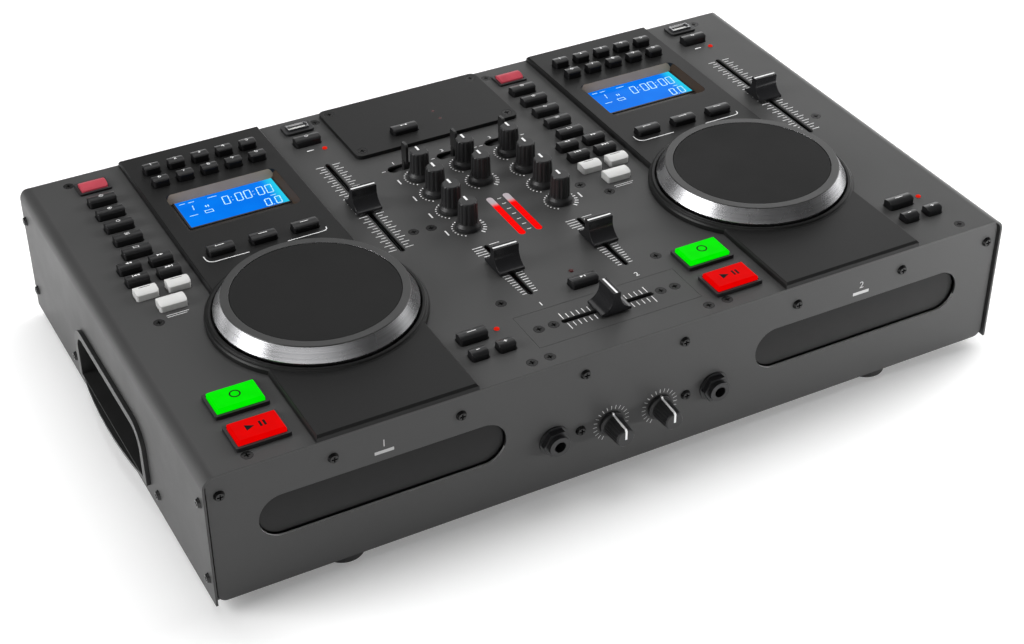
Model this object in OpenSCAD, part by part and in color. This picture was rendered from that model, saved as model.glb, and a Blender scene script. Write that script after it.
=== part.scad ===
// Tabletop disc player for two discs with a three channel mixer between its decks.
// +X runs to the right of the operator, +Y to the rear panel and +Z up.
// The origin is on the table, below the centre of the body.
// Deck A is on the left, deck B is the same deck moved to the right.

/* [Body] */
// Width of the body over its sides
body_w = 480; // [476:1:490]
// Depth of the body from front edge to rear edge
body_d = 296; // [296:1:304]
// Height of the body without its feet
body_h = 81; // [80:1:88]
// Height of the rubber feet
foot_h = 6; // [4:0.5:10]
// Thickness of the steel sheets
sheet_t = 1.2; // [1:0.1:1.4]
// Outside radius of the bends between top and sides
bend_r = 7; // [4:0.5:9]
// How far the front panel lies behind the edge of the cover
panel_recess = 1.8; // [1:0.1:2.5]

/* [Decks] */
// Distance of each deck's centre line from the middle
deck_x = 136.5; // [136:0.5:138]
// Width of the raised deck plate
plate_w = 88.6; // [86:0.2:90]
// Thickness of the raised deck plate
plate_t = 3.5; // [3:0.1:4]
// Radius of the jog wheel at the foot of its skirt
jog_r = 54.5; // [53:0.1:54.6]
// Height of the jog wheel's rim above the top sheet
jog_h = 13.7; // [12:0.1:16]
// Place of the jog wheel's axis, front to back
jog_y = -47; // [-48:0.5:-46]
// Radius of the jog wheel's axle
axle_r = 3; // [2.5:0.1:3.5]

/* [Keys] */
// How far a key goes down
key_travel = 0.8; // [0.5:0.1:1]
// Gap round a key in its hole
key_gap = 0.4; // [0.3:0.05:0.5]
// Height of a key above its panel
key_h = 4.6; // [3.5:0.1:5.5]
// Height of a lit cue or play cap above the top sheet
cap_h = 4.5; // [4:0.1:6]

/* [Mixer] */
// Distance of the channel knob columns from the middle
knob_x = 29.5; // [29:0.5:31]
// Distance between knobs of a column
knob_pitch = 20.6; // [20:0.1:21]
// Height of a mixer knob above the top sheet
knob_h = 17.6; // [15:0.1:19]
// Radius of a mixer knob's foot
knob_r = 7.3; // [7:0.1:8.2]
// Travel of the channel faders and the crossfader
fader_travel = 45; // [40:1:45]
// Travel of the pitch faders
pitch_travel = 100; // [90:1:100]
// Height of a fader cap above the top sheet
fader_h = 13.6; // [11:0.1:15]
// Swing of a source selector lever to each side
selector_swing = 18; // [10:1:20]

/* [Drives] */
// Distance of each drive's centre line from the middle
drive_x = 144.8; // [144:0.2:146]
// Width of the drawer opening in the front panel
slot_w = 136.4; // [135:0.2:138]
// Height of the drawer opening in the front panel
slot_h = 25.8; // [25:0.2:27]
// Height of the drawer opening's centre above the body's bottom
slot_rise = 42.5; // [42:0.5:43]
// How far a drawer comes out
tray_travel = 132; // [120:1:132]

/* [Front sockets] */
// Distance of each socket from the middle between the two
jack_span = 49.4; // [49:0.2:51]
// Radius of a socket's bore for a 6.35 mm plug
jack_bore_r = 3.25; // [3.2:0.01:3.3]

/* [Hidden] */
NODES = ["top_cover", "chassis_pan", "front_panel", "deck_plate_a", "deck_plate_b", "lcd_windows",
  "mixer_plates", "mains_inlet", "indicator_lamps", "feet", "panel_screws", "side_handles",
  "usb_sockets", "front_jacks", "rear_sockets", "circuit_boards", "disc_loaders", "key_frames",
  "jog_wheel_a", "jog_wheel_b", "jog_pad_a", "jog_pad_b", "disc_tray_a", "disc_tray_b",
  "tray_gear_a", "tray_gear_b", "disc_hub_a", "disc_hub_b", "pitch_fader_a", "pitch_fader_b",
  "channel_fader_a", "channel_fader_b", "crossfader", "selector_a", "selector_cue", "selector_b",
  "level_knob_a", "high_knob_a", "mid_knob_a", "low_knob_a", "level_knob_b", "high_knob_b",
  "mid_knob_b", "low_knob_b", "master_knob", "cue_mix_knob", "mic_knob", "phones_knob",
  "power_rocker", "cue_button_a", "cue_button_b", "play_button_a", "play_button_b",
  "eject_key_a", "eject_key_b", "number_keys_a", "number_keys_b", "deck_keys_a", "deck_keys_b",
  "mixer_keys"];
node = "all";
$fn = 64;

SIDES = ["a", "b"];
GRAPHITE = [0.27, 0.27, 0.28];
CHARCOAL = [0.15, 0.15, 0.16];
BLACK = [0.06, 0.06, 0.06];

top_z = foot_h + body_h;
half_w = body_w / 2;
half_d = body_d / 2;
under_z = top_z - sheet_t;
gap = 0.3;
fit = 0.05;

// Front panel
panel_y = -half_d + panel_recess;
panel_back_y = panel_y + sheet_t;
panel_top = under_z - gap;
panel_half_w = half_w - sheet_t - 1;
flange_l = 14;
slot_z = foot_h + slot_rise;

// Rear wall of the chassis
rear_y = half_d - sheet_t - gap;
pan_half_w = half_w - sheet_t - 0.2;

// Circuit boards under the top sheet, measured down from the top surface
board_drop = 14;
board_t = 1.6;
stem_drop = 9.4;

// Jog wheel and the well that it turns in, heights above the top surface
collar_in = 55.3;
collar_out = 59.3;
collar_top = 4.9;
well_r = 57.3;
well_floor = -3.2;
pad_r = 45.4;
rim_r = 49.8;
pad_t = 2.2;

// Rear edge of the deck plate
plate_rear_gap = 3;
plate_rear_y = half_d - plate_rear_gap;

// Display recess in the deck plate
lcd_w = 67.5;
lcd_d = 42.8;
lcd_y = 73.2;
lcd_slope = 2.2;

// Key places on a deck, from the deck's centre line
strip_x = -65.5;
mode_y = 110.6;
mode_pitch = 15.05;
pair_x = 9;
search_y = [37, 23.8];
white_y = 10.4;
wide_white_y = -4.6;
number_pitch = [14.95, 15.4];
number_at = [-0.7, 116.3];
loop_at = [-0.5, 26.3];
loop_pitch = 25;
source_at = [64.3, 117];
pitch_key_at = [60.6, -107.5];
minus_at = [56.6, -122.6];
plus_at = [72.4, -122.6];
eject_at = [-64.8, 129.2];
eject_size = [15.5, 9.6];
button_size = [25.3, 16.5];
cue_at = [-66.3, -98.8];
play_at = [-66.3, -126.7];
frame_rim = 1.6;
usb_at = [65.4, 134.6];
pitch_fader_at = [64.6, 35.8];
deck_lamps = [[71.2, 106.2], [75.8, -106]];
deck_screws = [[-77, 137.2], [-77, -17], [-77, -140.4], [78, 137.2], [78, -2], [78, -140.4]];

// Mixer places, from the middle of the body
channel_y = -60;
channel_rest = 4;
cross_y = -116.7;
cross_rest = 1;
cross_plate = [98, 29.6];
cross_screws = [-41.5, -32.7, 32.7, 41.5];
mixer_plate_size = [107.6, 60.8];
mixer_plate_y = 113.4;
mixer_plate_t = 2.4;
mixer_plate_screw = [48.5, 24.6];
selector_y = 64.2;
selector_x = 32;
selector_pivot = 20;
selector_slot = [2 * (selector_pivot * tan(selector_swing) + 4.8), 7.2];
knob_top_y = 49.8;
meter_x = 5.3;
meter_l = 43;
meter_y = -11.5;
start_key_at = [0, -90.3];
pair_key_at = [-16.2, 99];
mixer_lamps = [[9.5, 111.8], [9.5, 101.8]];
start_lamp_at = [0, -77.5];
mixer_screws = [[48, -2.9], [48, -86.7], [48, -140.3]];

// Fader stems and slots
fader_slot_w = 3.2;
stem_w = 1.6;
stem_l = 4;

// Front controls
front_mid = 1;
front_knob_x = [front_mid - 14.8, front_mid + 15.2];
jack_x = [front_mid - jack_span, front_mid + jack_span];
front_knob_z = foot_h + 29.3;
front_knob_l = 15.6;
jack_z = foot_h + 30.6;

// Drives
tray_w = 130;
tray_t = 7;
tray_z = slot_z - 4.5;
bezel_y = panel_back_y + 1;
bezel_t = 4;
disc_y = bezel_y + bezel_t + 3 + 61;
loader_half_w = 71;
loader_wall = 3;
loader_z = foot_h + 20;
loader_floor = 2.5;
gear_module = 1;
gear_teeth = 16;
gear_r = gear_module * gear_teeth / 2;
rack_x = -55;
gear_x = rack_x + gear_r;
gear_y = -130.4;
// the rack still meshes with the gear when the drawer is out
tray_back_y = gear_y + tray_travel + 6.4;
gear_t = 4;
backlash = 0.3;

// Handles in the sides, heights above the table
handle_half_l = 56;
handle_z = [foot_h + 10, foot_h + 46];
handle_depth = 20;
handle_bulge = 2.4;
handle_lip = 5.4;
handle_rim = 5;

// ---------- shared shapes ----------

// Stadium along X, centred
module stadium(l, w) {
  square([l - w, w], center = true);
  for (s = [-1, 1]) translate([s * (l - w) / 2, 0]) circle(w / 2);
}

// Rectangle with round corners, centred
module rounded(w, d, r) {
  square([w - 2 * r, d], center = true);
  square([w, d - 2 * r], center = true);
  for (sx = [-1, 1], sy = [-1, 1]) translate([sx * (w / 2 - r), sy * (d / 2 - r)]) circle(r, $fn = 32);
}

// Moves to a deck: 0 is deck A and 1 is deck B
module at_deck(i) translate([(2 * i - 1) * deck_x, 0, top_z]) children();
module at_drive(i) translate([(2 * i - 1) * drive_x, 0, 0]) children();
module on_top() translate([0, 0, top_z]) children();
// Puts a shape drawn along +Z on the front panel, pointing at the operator
module on_front(x, z) translate([x, panel_y, z]) rotate([90, 0, 0]) children();
// Puts a shape drawn along +Z on the rear wall, pointing backwards
module on_rear(x, z) translate([x, rear_y, z]) rotate([-90, 0, 0]) children();
// Puts a shape drawn along +Z on the outside of a side wall
module on_side(s, y, z) translate([s * half_w, y, z]) rotate([0, s * 90, 0]) children();

// Cross recess cut into a screw head whose top is at z = 0
module cross_recess() for (a = [0, 90]) rotate(a) translate([0, 0, -0.5])
  cube([3.2, 0.8, 1.2], center = true);

// Countersunk screw, flush at z = 0
module flat_screw() difference() {
  union() {
    translate([0, 0, -sheet_t]) cylinder(r1 = 1.9, r2 = 3.1, h = sheet_t - 0.05, $fn = 32);
    translate([0, 0, -6]) cylinder(r = 1.5, h = 6 - sheet_t, $fn = 24);
  }
  cross_recess();
}
module flat_screw_hole() translate([0, 0, -sheet_t - 0.01])
  cylinder(r1 = 2, r2 = 3.25, h = sheet_t + 0.02, $fn = 32);

// Pan head screw, its head stands on z = 0
module pan_screw() difference() {
  union() {
    cylinder(r1 = 3, r2 = 2.2, h = 1.7, $fn = 32);
    translate([0, 0, -5]) cylinder(r = 1.4, h = 5, $fn = 24);
  }
  translate([0, 0, 1.7]) cross_recess();
}

// Key with a crowned top whose height is h, its body reaching down to z0, and its stem to the switch
module crowned_key(size, h, z0, crown, stem_z) {
  crown_r = (size[1] * size[1] / 4 + crown * crown) / (2 * crown);
  difference() {
    translate([0, 0, z0]) linear_extrude(h - z0) rounded(size[0], size[1], 1.4);
    difference() {
      translate([-size[0], -size[1], h - crown]) cube([2 * size[0], 2 * size[1], 2 * crown]);
      translate([0, 0, h - crown_r]) rotate([0, 90, 0]) cylinder(r = crown_r, h = 3 * size[0], center = true);
    }
  }
  translate([0, 0, stem_z]) cylinder(r = 1.4, h = z0 - stem_z + 0.1, $fn = 24);
}
// Key of the top sheet, kept in by a flange under the sheet
module key(size, h) {
  crowned_key(size, h, -sheet_t - 0.6, 1.3, -stem_drop);
  translate([0, 0, -sheet_t - 1.4]) linear_extrude(0.8) rounded(size[0] + 2, size[1] + 2, 1.4);
}
// Key of the deck plate, drawn from the plate's top surface
module plate_key(size, h) crowned_key(size, h, -plate_t - 0.8, 0.9, -plate_t - stem_drop);
module key_hole(size) rounded(size[0] + 2 * key_gap, size[1] + 2 * key_gap, 1.4 + key_gap);

// ---------- key layout of a deck ----------

KEY = [16, 8];
SHORT_KEY = [12.6, 8];
WIDE_KEY = [15.2, 9.4];
WHITE_KEY = [12.6, 8.8];
NUMBER_KEY = [9.4, 7.2];
LOOP_KEY = [15, 7.6];
STEP_KEY = [9.6, 7.6];

function grid(n, pitch) = [for (i = [0:n - 1]) (i - (n - 1) / 2) * pitch];

module mode_key_places() for (i = [0:4]) translate([strip_x, mode_y - i * mode_pitch]) children();
module search_key_places() for (s = [-1, 1], y = search_y) translate([strip_x + s * pair_x, y]) children();
module white_key_places() for (s = [-1, 1]) translate([strip_x + s * pair_x, white_y]) children();
module step_key_places() for (p = [minus_at, plus_at]) translate(p) children();
module number_key_places() for (x = grid(5, number_pitch[0]), y = grid(2, number_pitch[1]))
  translate(number_at + [x, y]) children();
module loop_key_places() for (x = grid(3, loop_pitch)) translate(loop_at + [x, 0]) children();

// Holes that a deck needs in the top sheet
module deck_holes() {
  translate([0, jog_y]) circle(well_r + gap, $fn = 128);
  translate([-37, 14]) square([74, 118]);
  mode_key_places() key_hole(KEY);
  search_key_places() key_hole(SHORT_KEY);
  white_key_places() key_hole(WHITE_KEY);
  translate([strip_x, wide_white_y]) key_hole(WIDE_KEY);
  translate(source_at) key_hole(KEY);
  translate(pitch_key_at) key_hole(KEY);
  step_key_places() key_hole(STEP_KEY);
  translate(eject_at) square(eject_size + 2 * [0.5, 0.5], center = true);
  for (p = [cue_at, play_at]) translate(p) square(button_size + 2 * [0.5, 0.5], center = true);
  translate(usb_at) square([14.4, 7.4], center = true);
  translate(pitch_fader_at) rotate(90) stadium(pitch_travel + stem_l + 1.5, fader_slot_w);
  for (p = deck_lamps) translate(p) circle(1.6, $fn = 24);
}

// Holes that the mixer needs in the top sheet
module mixer_holes() {
  for (s = [-1, 1]) {
    for (k = [0:3]) translate([s * knob_x, knob_top_y - k * knob_pitch]) circle(3.9, $fn = 32);
    translate([s * knob_x, channel_y]) rotate(90) stadium(fader_travel + stem_l + 5, fader_slot_w);
    translate([s * meter_x, meter_y]) rotate(90) stadium(meter_l + 0.2, 4.2);
  }
  for (k = [0, 1]) translate([0, knob_top_y - k * knob_pitch]) circle(3.9, $fn = 32);
  for (k = [-1, 0, 1]) translate([k * selector_x, selector_y]) stadium(selector_slot[0], selector_slot[1]);
  translate([0, cross_y]) square([cross_plate[0] + 0.3, cross_plate[1] + 0.3], center = true);
  translate(start_key_at) key_hole(KEY);
  translate(pair_key_at) square(KEY + [4, 4], center = true);
  for (p = concat(mixer_lamps, [start_lamp_at])) translate(p) circle(1.6, $fn = 24);
  mixer_plate_screw_places() circle(1.8, $fn = 24);
}
module mixer_plate_screw_places() for (sx = [-1, 1], sy = [-1, 1])
  translate([sx * mixer_plate_screw[0], mixer_plate_y + sy * mixer_plate_screw[1]]) children();

module deck_screw_places() for (p = deck_screws) translate(p) children();
module mixer_screw_places() for (p = mixer_screws, s = [-1, 1]) translate([s * p[0], p[1]]) children();

// ---------- casing ----------

// Section of the cover in X and Z, inset by a distance
module cover_section(inset) {
  r = bend_r - inset;
  w = half_w - inset;
  z = top_z - inset;
  translate([-w, foot_h]) square([2 * w, z - r - foot_h]);
  translate([-w + r, foot_h]) square([2 * (w - r), z - foot_h]);
  for (s = [-1, 1]) translate([s * (w - r), z - r]) circle(r);
}
module along_y(y0, y1) translate([0, y1, 0]) rotate([90, 0, 0]) linear_extrude(y1 - y0) children();

// Outline of a handle frame in Y and Z, shrunk by a distance
module handle_outline(shrink) {
  r_top = 15 - shrink;
  w = handle_half_l - shrink;
  z0 = handle_z[0] + shrink / 2;
  z1 = handle_z[1] - shrink;
  translate([-w, z0]) square([2 * w, z1 - r_top - z0]);
  translate([-w + r_top, z0]) square([2 * (w - r_top), z1 - z0]);
  for (s = [-1, 1]) translate([s * (w - r_top), z1 - r_top]) circle(r_top);
}
// A prism of a Y and Z outline between two distances from the middle of the body
module along_x(x0, x1) translate([x0, 0, 0]) rotate([90, 0, 90]) linear_extrude(x1 - x0) children();

// Side screw places in Y and Z
SIDE_SCREWS = [for (s = [-1, 1]) for (p = [[141.5, 62.6], [141.5, 14], [69, 12.5]])
  [s * p[0], foot_h + p[1]]];

module top_cover() color(GRAPHITE) difference() {
  along_y(-half_d, half_d) cover_section(0);
  along_y(-half_d - 1, half_d - sheet_t) cover_section(sheet_t);
  translate([-half_w, -half_d - 1, foot_h - 1]) cube([body_w, sheet_t, 1]);
  // rear edge: a rounded fold with a short flange
  translate([-half_w + sheet_t, half_d - 2 * sheet_t, foot_h - 1])
    cube([body_w - 2 * sheet_t, 5, body_h - 8]);
  translate([0, half_d - 2.5, top_z - 2.5]) difference() {
    translate([-half_w - 1, 0, 0]) cube([body_w + 2, 5, 5]);
    rotate([0, 90, 0]) cylinder(r = 2.5, h = body_w + 4, center = true);
  }
  translate([0, 0, under_z - 1]) linear_extrude(3) {
    for (i = [0, 1]) translate([(2 * i - 1) * deck_x, 0]) deck_holes();
    mixer_holes();
  }
  for (i = [0, 1]) at_deck(i) deck_screw_places() flat_screw_hole();
  on_top() mixer_screw_places() flat_screw_hole();
  for (s = [-1, 1]) {
    along_x(s * half_w - 5, s * half_w + 5) handle_outline(handle_rim - 2);
    for (p = SIDE_SCREWS) on_side(s, p[0], p[1]) translate([0, 0, -5]) cylinder(r = 1.7, h = 10, $fn = 24);
  }
}

module chassis_pan() color([0.2, 0.2, 0.21]) difference() {
  union() {
    translate([-pan_half_w, panel_back_y + 1, foot_h])
      cube([2 * pan_half_w, rear_y - panel_back_y - 1, sheet_t]);
    translate([-pan_half_w, rear_y - sheet_t, foot_h])
      cube([2 * pan_half_w, sheet_t, under_z - gap - foot_h]);
    for (s = [-1, 1], y = [-half_d + 22, 62])
      translate([s * (pan_half_w - sheet_t / 2) - sheet_t / 2, y, foot_h]) cube([sheet_t, 64, 20]);
    for (s = [-1, 1])
      translate([s * (pan_half_w - sheet_t / 2) - sheet_t / 2, rear_y - flange_l, foot_h + 28])
        cube([sheet_t, flange_l, 42]);
  }
  // top corners of the rear wall follow the bends of the cover
  for (s = [-1, 1]) translate([s * (half_w - bend_r), rear_y, top_z - bend_r]) difference() {
    translate([s > 0 ? 0 : -bend_r, -5, 0]) cube([bend_r, 10, bend_r]);
    rotate([90, 0, 0]) cylinder(r = bend_r - sheet_t - 0.2, h = 30, center = true);
  }
  // air slots in the floor and the rear wall
  for (x = grid(9, 12)) translate([x, -20, foot_h - 1]) linear_extrude(4) rotate(90) stadium(60, 4);
  for (x = grid(7, 9)) on_rear(x - 150, foot_h + 60) translate([0, 0, -3]) linear_extrude(6) rotate(90)
    stadium(20, 3.5);
  rear_cutouts();
  for (s = [-1, 1], p = SIDE_SCREWS) on_side(s, p[0], p[1]) translate([0, 0, -5])
    cylinder(r = 1.5, h = 10, $fn = 24);
  for (p = foot_places()) translate([p[0], p[1], foot_h - 1]) cylinder(r = 2, h = 4, $fn = 24);
}

module drawer_opening(shrink) stadium(slot_w - 2 * shrink, slot_h - 2 * shrink);

// Front screw places in X and Z
FRONT_SCREWS = concat(
  [for (s = [-1, 1]) for (x = [30.2, 102, 172, 231.4]) [s * x, foot_h + 67.2]],
  [for (s = [-1, 1]) [s * 32.5, foot_h + 31]]);

module front_panel() color([0.24, 0.24, 0.25]) difference() {
  union() {
    translate([0, panel_back_y, 0]) rotate([90, 0, 0]) linear_extrude(sheet_t) difference() {
      translate([0, (panel_top + foot_h) / 2]) rounded(2 * panel_half_w, panel_top - foot_h, 5);
      for (s = [-1, 1]) translate([s * drive_x, slot_z]) drawer_opening(0);
    }
    for (s = [-1, 1]) translate([s * (panel_half_w - sheet_t / 2) - sheet_t / 2, panel_back_y, foot_h + 8])
      cube([sheet_t, flange_l, 60]);
    translate([-panel_half_w + 12, panel_back_y, foot_h + 2 * sheet_t])
      cube([2 * panel_half_w - 24, flange_l, sheet_t]);
  }
  for (p = FRONT_SCREWS) on_front(p[0], p[1]) cylinder(r = 1.6, h = 10, center = true, $fn = 24);
  for (x = front_knob_x) on_front(x, front_knob_z) cylinder(r = 3.9, h = 10, center = true, $fn = 32);
  for (x = jack_x) on_front(x, jack_z) cylinder(r = 6.2, h = 10, center = true);
  for (s = [-1, 1]) {
    for (p = SIDE_SCREWS) on_side(s, p[0], p[1]) translate([0, 0, -5]) cylinder(r = 1.5, h = 10, $fn = 24);
  }
}

function foot_places() = [for (sx = [-1, 1]) for (y = [-132, 132]) [sx * 165, y]];

module feet() color(BLACK) for (p = foot_places()) translate([p[0], p[1], 0]) difference() {
  union() {
    cylinder(r = 11, h = foot_h - 0.01);
    cylinder(r = 11.6, h = foot_h - 2);
  }
  translate([0, 0, -1]) cylinder(r = 4, h = 3.5, $fn = 32);
}

// ---------- handles ----------

module side_handle() {
  inner = half_w - handle_depth;
  lip_r = (pow(handle_half_l - 8, 2) + pow(handle_lip - handle_bulge, 2)) / (2 * (handle_lip - handle_bulge));
  // frame on the outside of the cover
  difference() {
    along_x(half_w, half_w + handle_bulge) handle_outline(0);
    along_x(half_w - 1, half_w + 9) handle_outline(handle_rim);
  }
  // lip that bows outwards along the lower edge
  intersection() {
    translate([half_w + handle_lip - lip_r, 0, handle_z[0]]) cylinder(r = lip_r, h = 2, $fn = 180);
    translate([half_w + 0.5, -handle_half_l + 8, handle_z[0]]) cube([9, 2 * handle_half_l - 16, 2]);
  }
  // cup behind the frame
  difference() {
    along_x(inner, half_w + 0.5) handle_outline(handle_rim - 1.6);
    along_x(inner + 1.6, half_w + 9) handle_outline(handle_rim);
  }
}
module side_handles() color([0.2, 0.2, 0.2]) for (s = [0, 1]) mirror([s, 0, 0]) side_handle();

// ---------- deck plates and displays ----------

// Frustum with a round-cornered section, from z0 to z1, wider at the top by slope on each side
module recess_cutter(w, d, z0, z1, slope, corner) intersection() {
  rotate([90, 0, 0]) linear_extrude(2 * d, center = true)
    polygon([[-w / 2 + slope, z0], [w / 2 - slope, z0], [w / 2, z1], [-w / 2, z1]]);
  rotate([90, 0, 90]) linear_extrude(2 * w, center = true)
    polygon([[-d / 2 + slope, z0], [d / 2 - slope, z0], [d / 2, z1], [-d / 2, z1]]);
  translate([0, 0, min(z0, z1) - 1]) linear_extrude(abs(z1 - z0) + 2) rounded(w, d, corner);
}

module deck_plate(i) color(CHARCOAL) at_deck(i) difference() {
  union() {
    intersection() {
      translate([0, -plate_rear_gap / 2, 0]) rotate([90, 0, 0])
        linear_extrude(body_d - plate_rear_gap, center = true)
        polygon([[-plate_w / 2, 0], [plate_w / 2, 0], [plate_w / 2 - 0.3, plate_t - 1.2],
                 [plate_w / 2 - 1.2, plate_t], [-plate_w / 2 + 1.2, plate_t],
                 [-plate_w / 2 + 0.3, plate_t - 1.2]]);
      rotate([90, 0, 90]) linear_extrude(plate_w, center = true)
        polygon([[-half_d, 0], [plate_rear_y, 0], [plate_rear_y - 0.3, plate_t - 1.2],
                 [plate_rear_y - 1.2, plate_t], [-half_d + 1.6, plate_t],
                 [-half_d + 0.3, plate_t - 1.2]]);
    }
    translate([0, lcd_y, -2]) linear_extrude(2) square([lcd_w + 4, lcd_d + 4], center = true);
    translate([0, jog_y, 0]) rotate_extrude($fn = 128)
      polygon([[0, well_floor], [well_r, well_floor], [well_r, 0], [collar_out, 0], [collar_out, 2.6],
               [collar_out - 0.7, 3.6], [well_r + 0.5, 3.9], [well_r + 0.2, collar_top - 0.3],
               [well_r - 0.2, collar_top], [collar_in + 0.5, collar_top], [collar_in, collar_top - 0.6],
               [0, collar_top - 0.6]]);
    translate([0, jog_y, -11.5]) cylinder(r = 8, h = 9);
  }
  translate([0, jog_y, well_floor + 1.6]) cylinder(r = collar_in, h = 20, $fn = 128);
  translate([0, jog_y, -20]) cylinder(r = axle_r + fit, h = 30);
  translate([0, lcd_y, 0]) recess_cutter(lcd_w, lcd_d, -2.1, plate_t + 0.01, lcd_slope, 4);
  translate([0, 0, -1]) linear_extrude(plate_t + 2) {
    number_key_places() key_hole(NUMBER_KEY);
    loop_key_places() key_hole(LOOP_KEY);
  }
}

module lcd_windows() color([0.0, 0.35, 0.85]) for (i = [0, 1]) at_deck(i)
  translate([0, lcd_y, -4.6]) linear_extrude(2.6) square([lcd_w + 2, lcd_d + 2], center = true);

module control_plate() color(CHARCOAL) on_top() difference() {
  translate([0, mixer_plate_y]) linear_extrude(mixer_plate_t)
    rounded(mixer_plate_size[0], mixer_plate_size[1], 4);
  translate(pair_key_at) linear_extrude(10, center = true) key_hole(KEY);
  for (p = mixer_lamps) translate([p[0], p[1], -1]) cylinder(r = 1.1, h = 9, $fn = 24);
  mixer_plate_screw_places() translate([0, 0, mixer_plate_t]) {
    flat_screw_hole();
    cylinder(r = 1.7, h = 20, center = true, $fn = 24);
  }
}

module crossfader_plate() color(GRAPHITE) on_top() translate([0, cross_y, -sheet_t]) difference() {
  union() {
    linear_extrude(sheet_t) square(cross_plate, center = true);
    // backing strip that the plate's screws go into
    translate([0, 0, -sheet_t]) linear_extrude(sheet_t) square(cross_plate + [6, 6], center = true);
  }
  translate([0, 0, -2]) linear_extrude(9) stadium(fader_travel + stem_l + 7, fader_slot_w);
  for (x = cross_screws) translate([x, 0, sheet_t]) {
    flat_screw_hole();
    cylinder(r = 1.6, h = 20, center = true, $fn = 24);
  }
}
module mixer_plates() {
  control_plate();
  crossfader_plate();
}

module lamp(h) {
  translate([0, 0, -4]) cylinder(r = 1.5, h = 4 + h - 0.5, $fn = 24);
  translate([0, 0, h - 0.5]) cylinder(r1 = 1.5, r2 = 0.9, h = 0.5, $fn = 24);
}
module indicator_lamps() color([0.9, 0.05, 0.05]) {
  for (i = [0, 1], p = deck_lamps) at_deck(i) translate(p) lamp(0.8);
  on_top() translate(start_lamp_at) lamp(0.6);
  on_top() for (p = mixer_lamps) translate(p) translate([0, 0, -4])
    cylinder(r = 1, h = 4 + mixer_plate_t, $fn = 24);
  on_top() for (s = [-1, 1]) translate([s * meter_x, meter_y, -3]) linear_extrude(3) rotate(90)
    stadium(meter_l, 4);
}

module button_frame(size, h) {
  outer = size + 2 * [frame_rim + 0.3, frame_rim + 0.3];
  inner = size + 2 * [0.3, 0.3];
  difference() {
    linear_extrude(h) rounded(outer[0], outer[1], 1.2);
    translate([0, 0, -1]) linear_extrude(h + 2) rounded(inner[0], inner[1], 0.5);
  }
}
module key_frames() color(BLACK) for (i = [0, 1]) at_deck(i) {
  for (p = [cue_at, play_at]) translate(p) button_frame(button_size, 2.2);
  translate(eject_at) button_frame(eject_size, 1.2);
}

module panel_screws() color([0.1, 0.1, 0.1]) {
  for (i = [0, 1]) at_deck(i) deck_screw_places() flat_screw();
  on_top() {
    mixer_screw_places() flat_screw();
    mixer_plate_screw_places() translate([0, 0, mixer_plate_t]) flat_screw();
    for (x = cross_screws) translate([x, cross_y, 0]) flat_screw();
  }
  for (p = FRONT_SCREWS) on_front(p[0], p[1]) pan_screw();
  for (s = [-1, 1], p = SIDE_SCREWS) on_side(s, p[0], p[1]) pan_screw();
}

// ---------- sockets ----------

module usb_socket() {
  difference() {
    linear_extrude(1.6) rounded(18.6, 12, 2.4);
    translate([0, 0, -1]) linear_extrude(4) square([13.4, 6.2], center = true);
  }
  // metal shell with the contact tongue inside
  difference() {
    translate([0, 0, -12]) linear_extrude(14.6) square([13.2, 6], center = true);
    translate([0, 0, -10]) linear_extrude(20) square([12.3, 5.1], center = true);
  }
  translate([0, 0.6, -11]) linear_extrude(12) square([11, 1.8], center = true);
}
module usb_sockets() color([0.75, 0.75, 0.77]) for (i = [0, 1]) at_deck(i) translate(usb_at) usb_socket();

// 6.35 mm jack socket: nut, threaded sleeve and body behind the panel
module jack_socket() difference() {
  union() {
    translate([0, 0, 0.05]) cylinder(r = 8.8, h = 0.9);
    cylinder(r = 8.2, h = 4.2, $fn = 6);
    translate([0, 0, -sheet_t - 1]) cylinder(r = 6, h = sheet_t + 8);
    translate([-8, -8, -sheet_t - 24]) cube([16, 16, 23.9]);
  }
  translate([0, 0, -sheet_t - 22]) cylinder(r = jack_bore_r, h = 40);
}
module front_jacks() color(BLACK) for (x = jack_x) on_front(x, jack_z) jack_socket();

// Rear wall layout, seen from the front
RCA_X = [-60, -38, -8, 14];
RCA_Z = [foot_h + 26, foot_h + 42];
INLET_X = 190;
SWITCH_X = 152;
REAR_Z = foot_h + 46;
GROUND_AT = [-86, foot_h + 34];
SWITCH_HOLE = [14, 21.4];

module rear_cutouts() {
  on_rear(INLET_X, REAR_Z) cube([27.4, 20.4, 12], center = true);
  on_rear(SWITCH_X, REAR_Z) cube([SWITCH_HOLE[0] + 3.4, SWITCH_HOLE[1] + 3.4, 12], center = true);
  for (x = RCA_X, z = RCA_Z) on_rear(x, z) cylinder(r = 4.6, h = 12, center = true);
  on_rear(GROUND_AT[0], GROUND_AT[1]) cylinder(r = 2.6, h = 12, center = true, $fn = 24);
}

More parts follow.
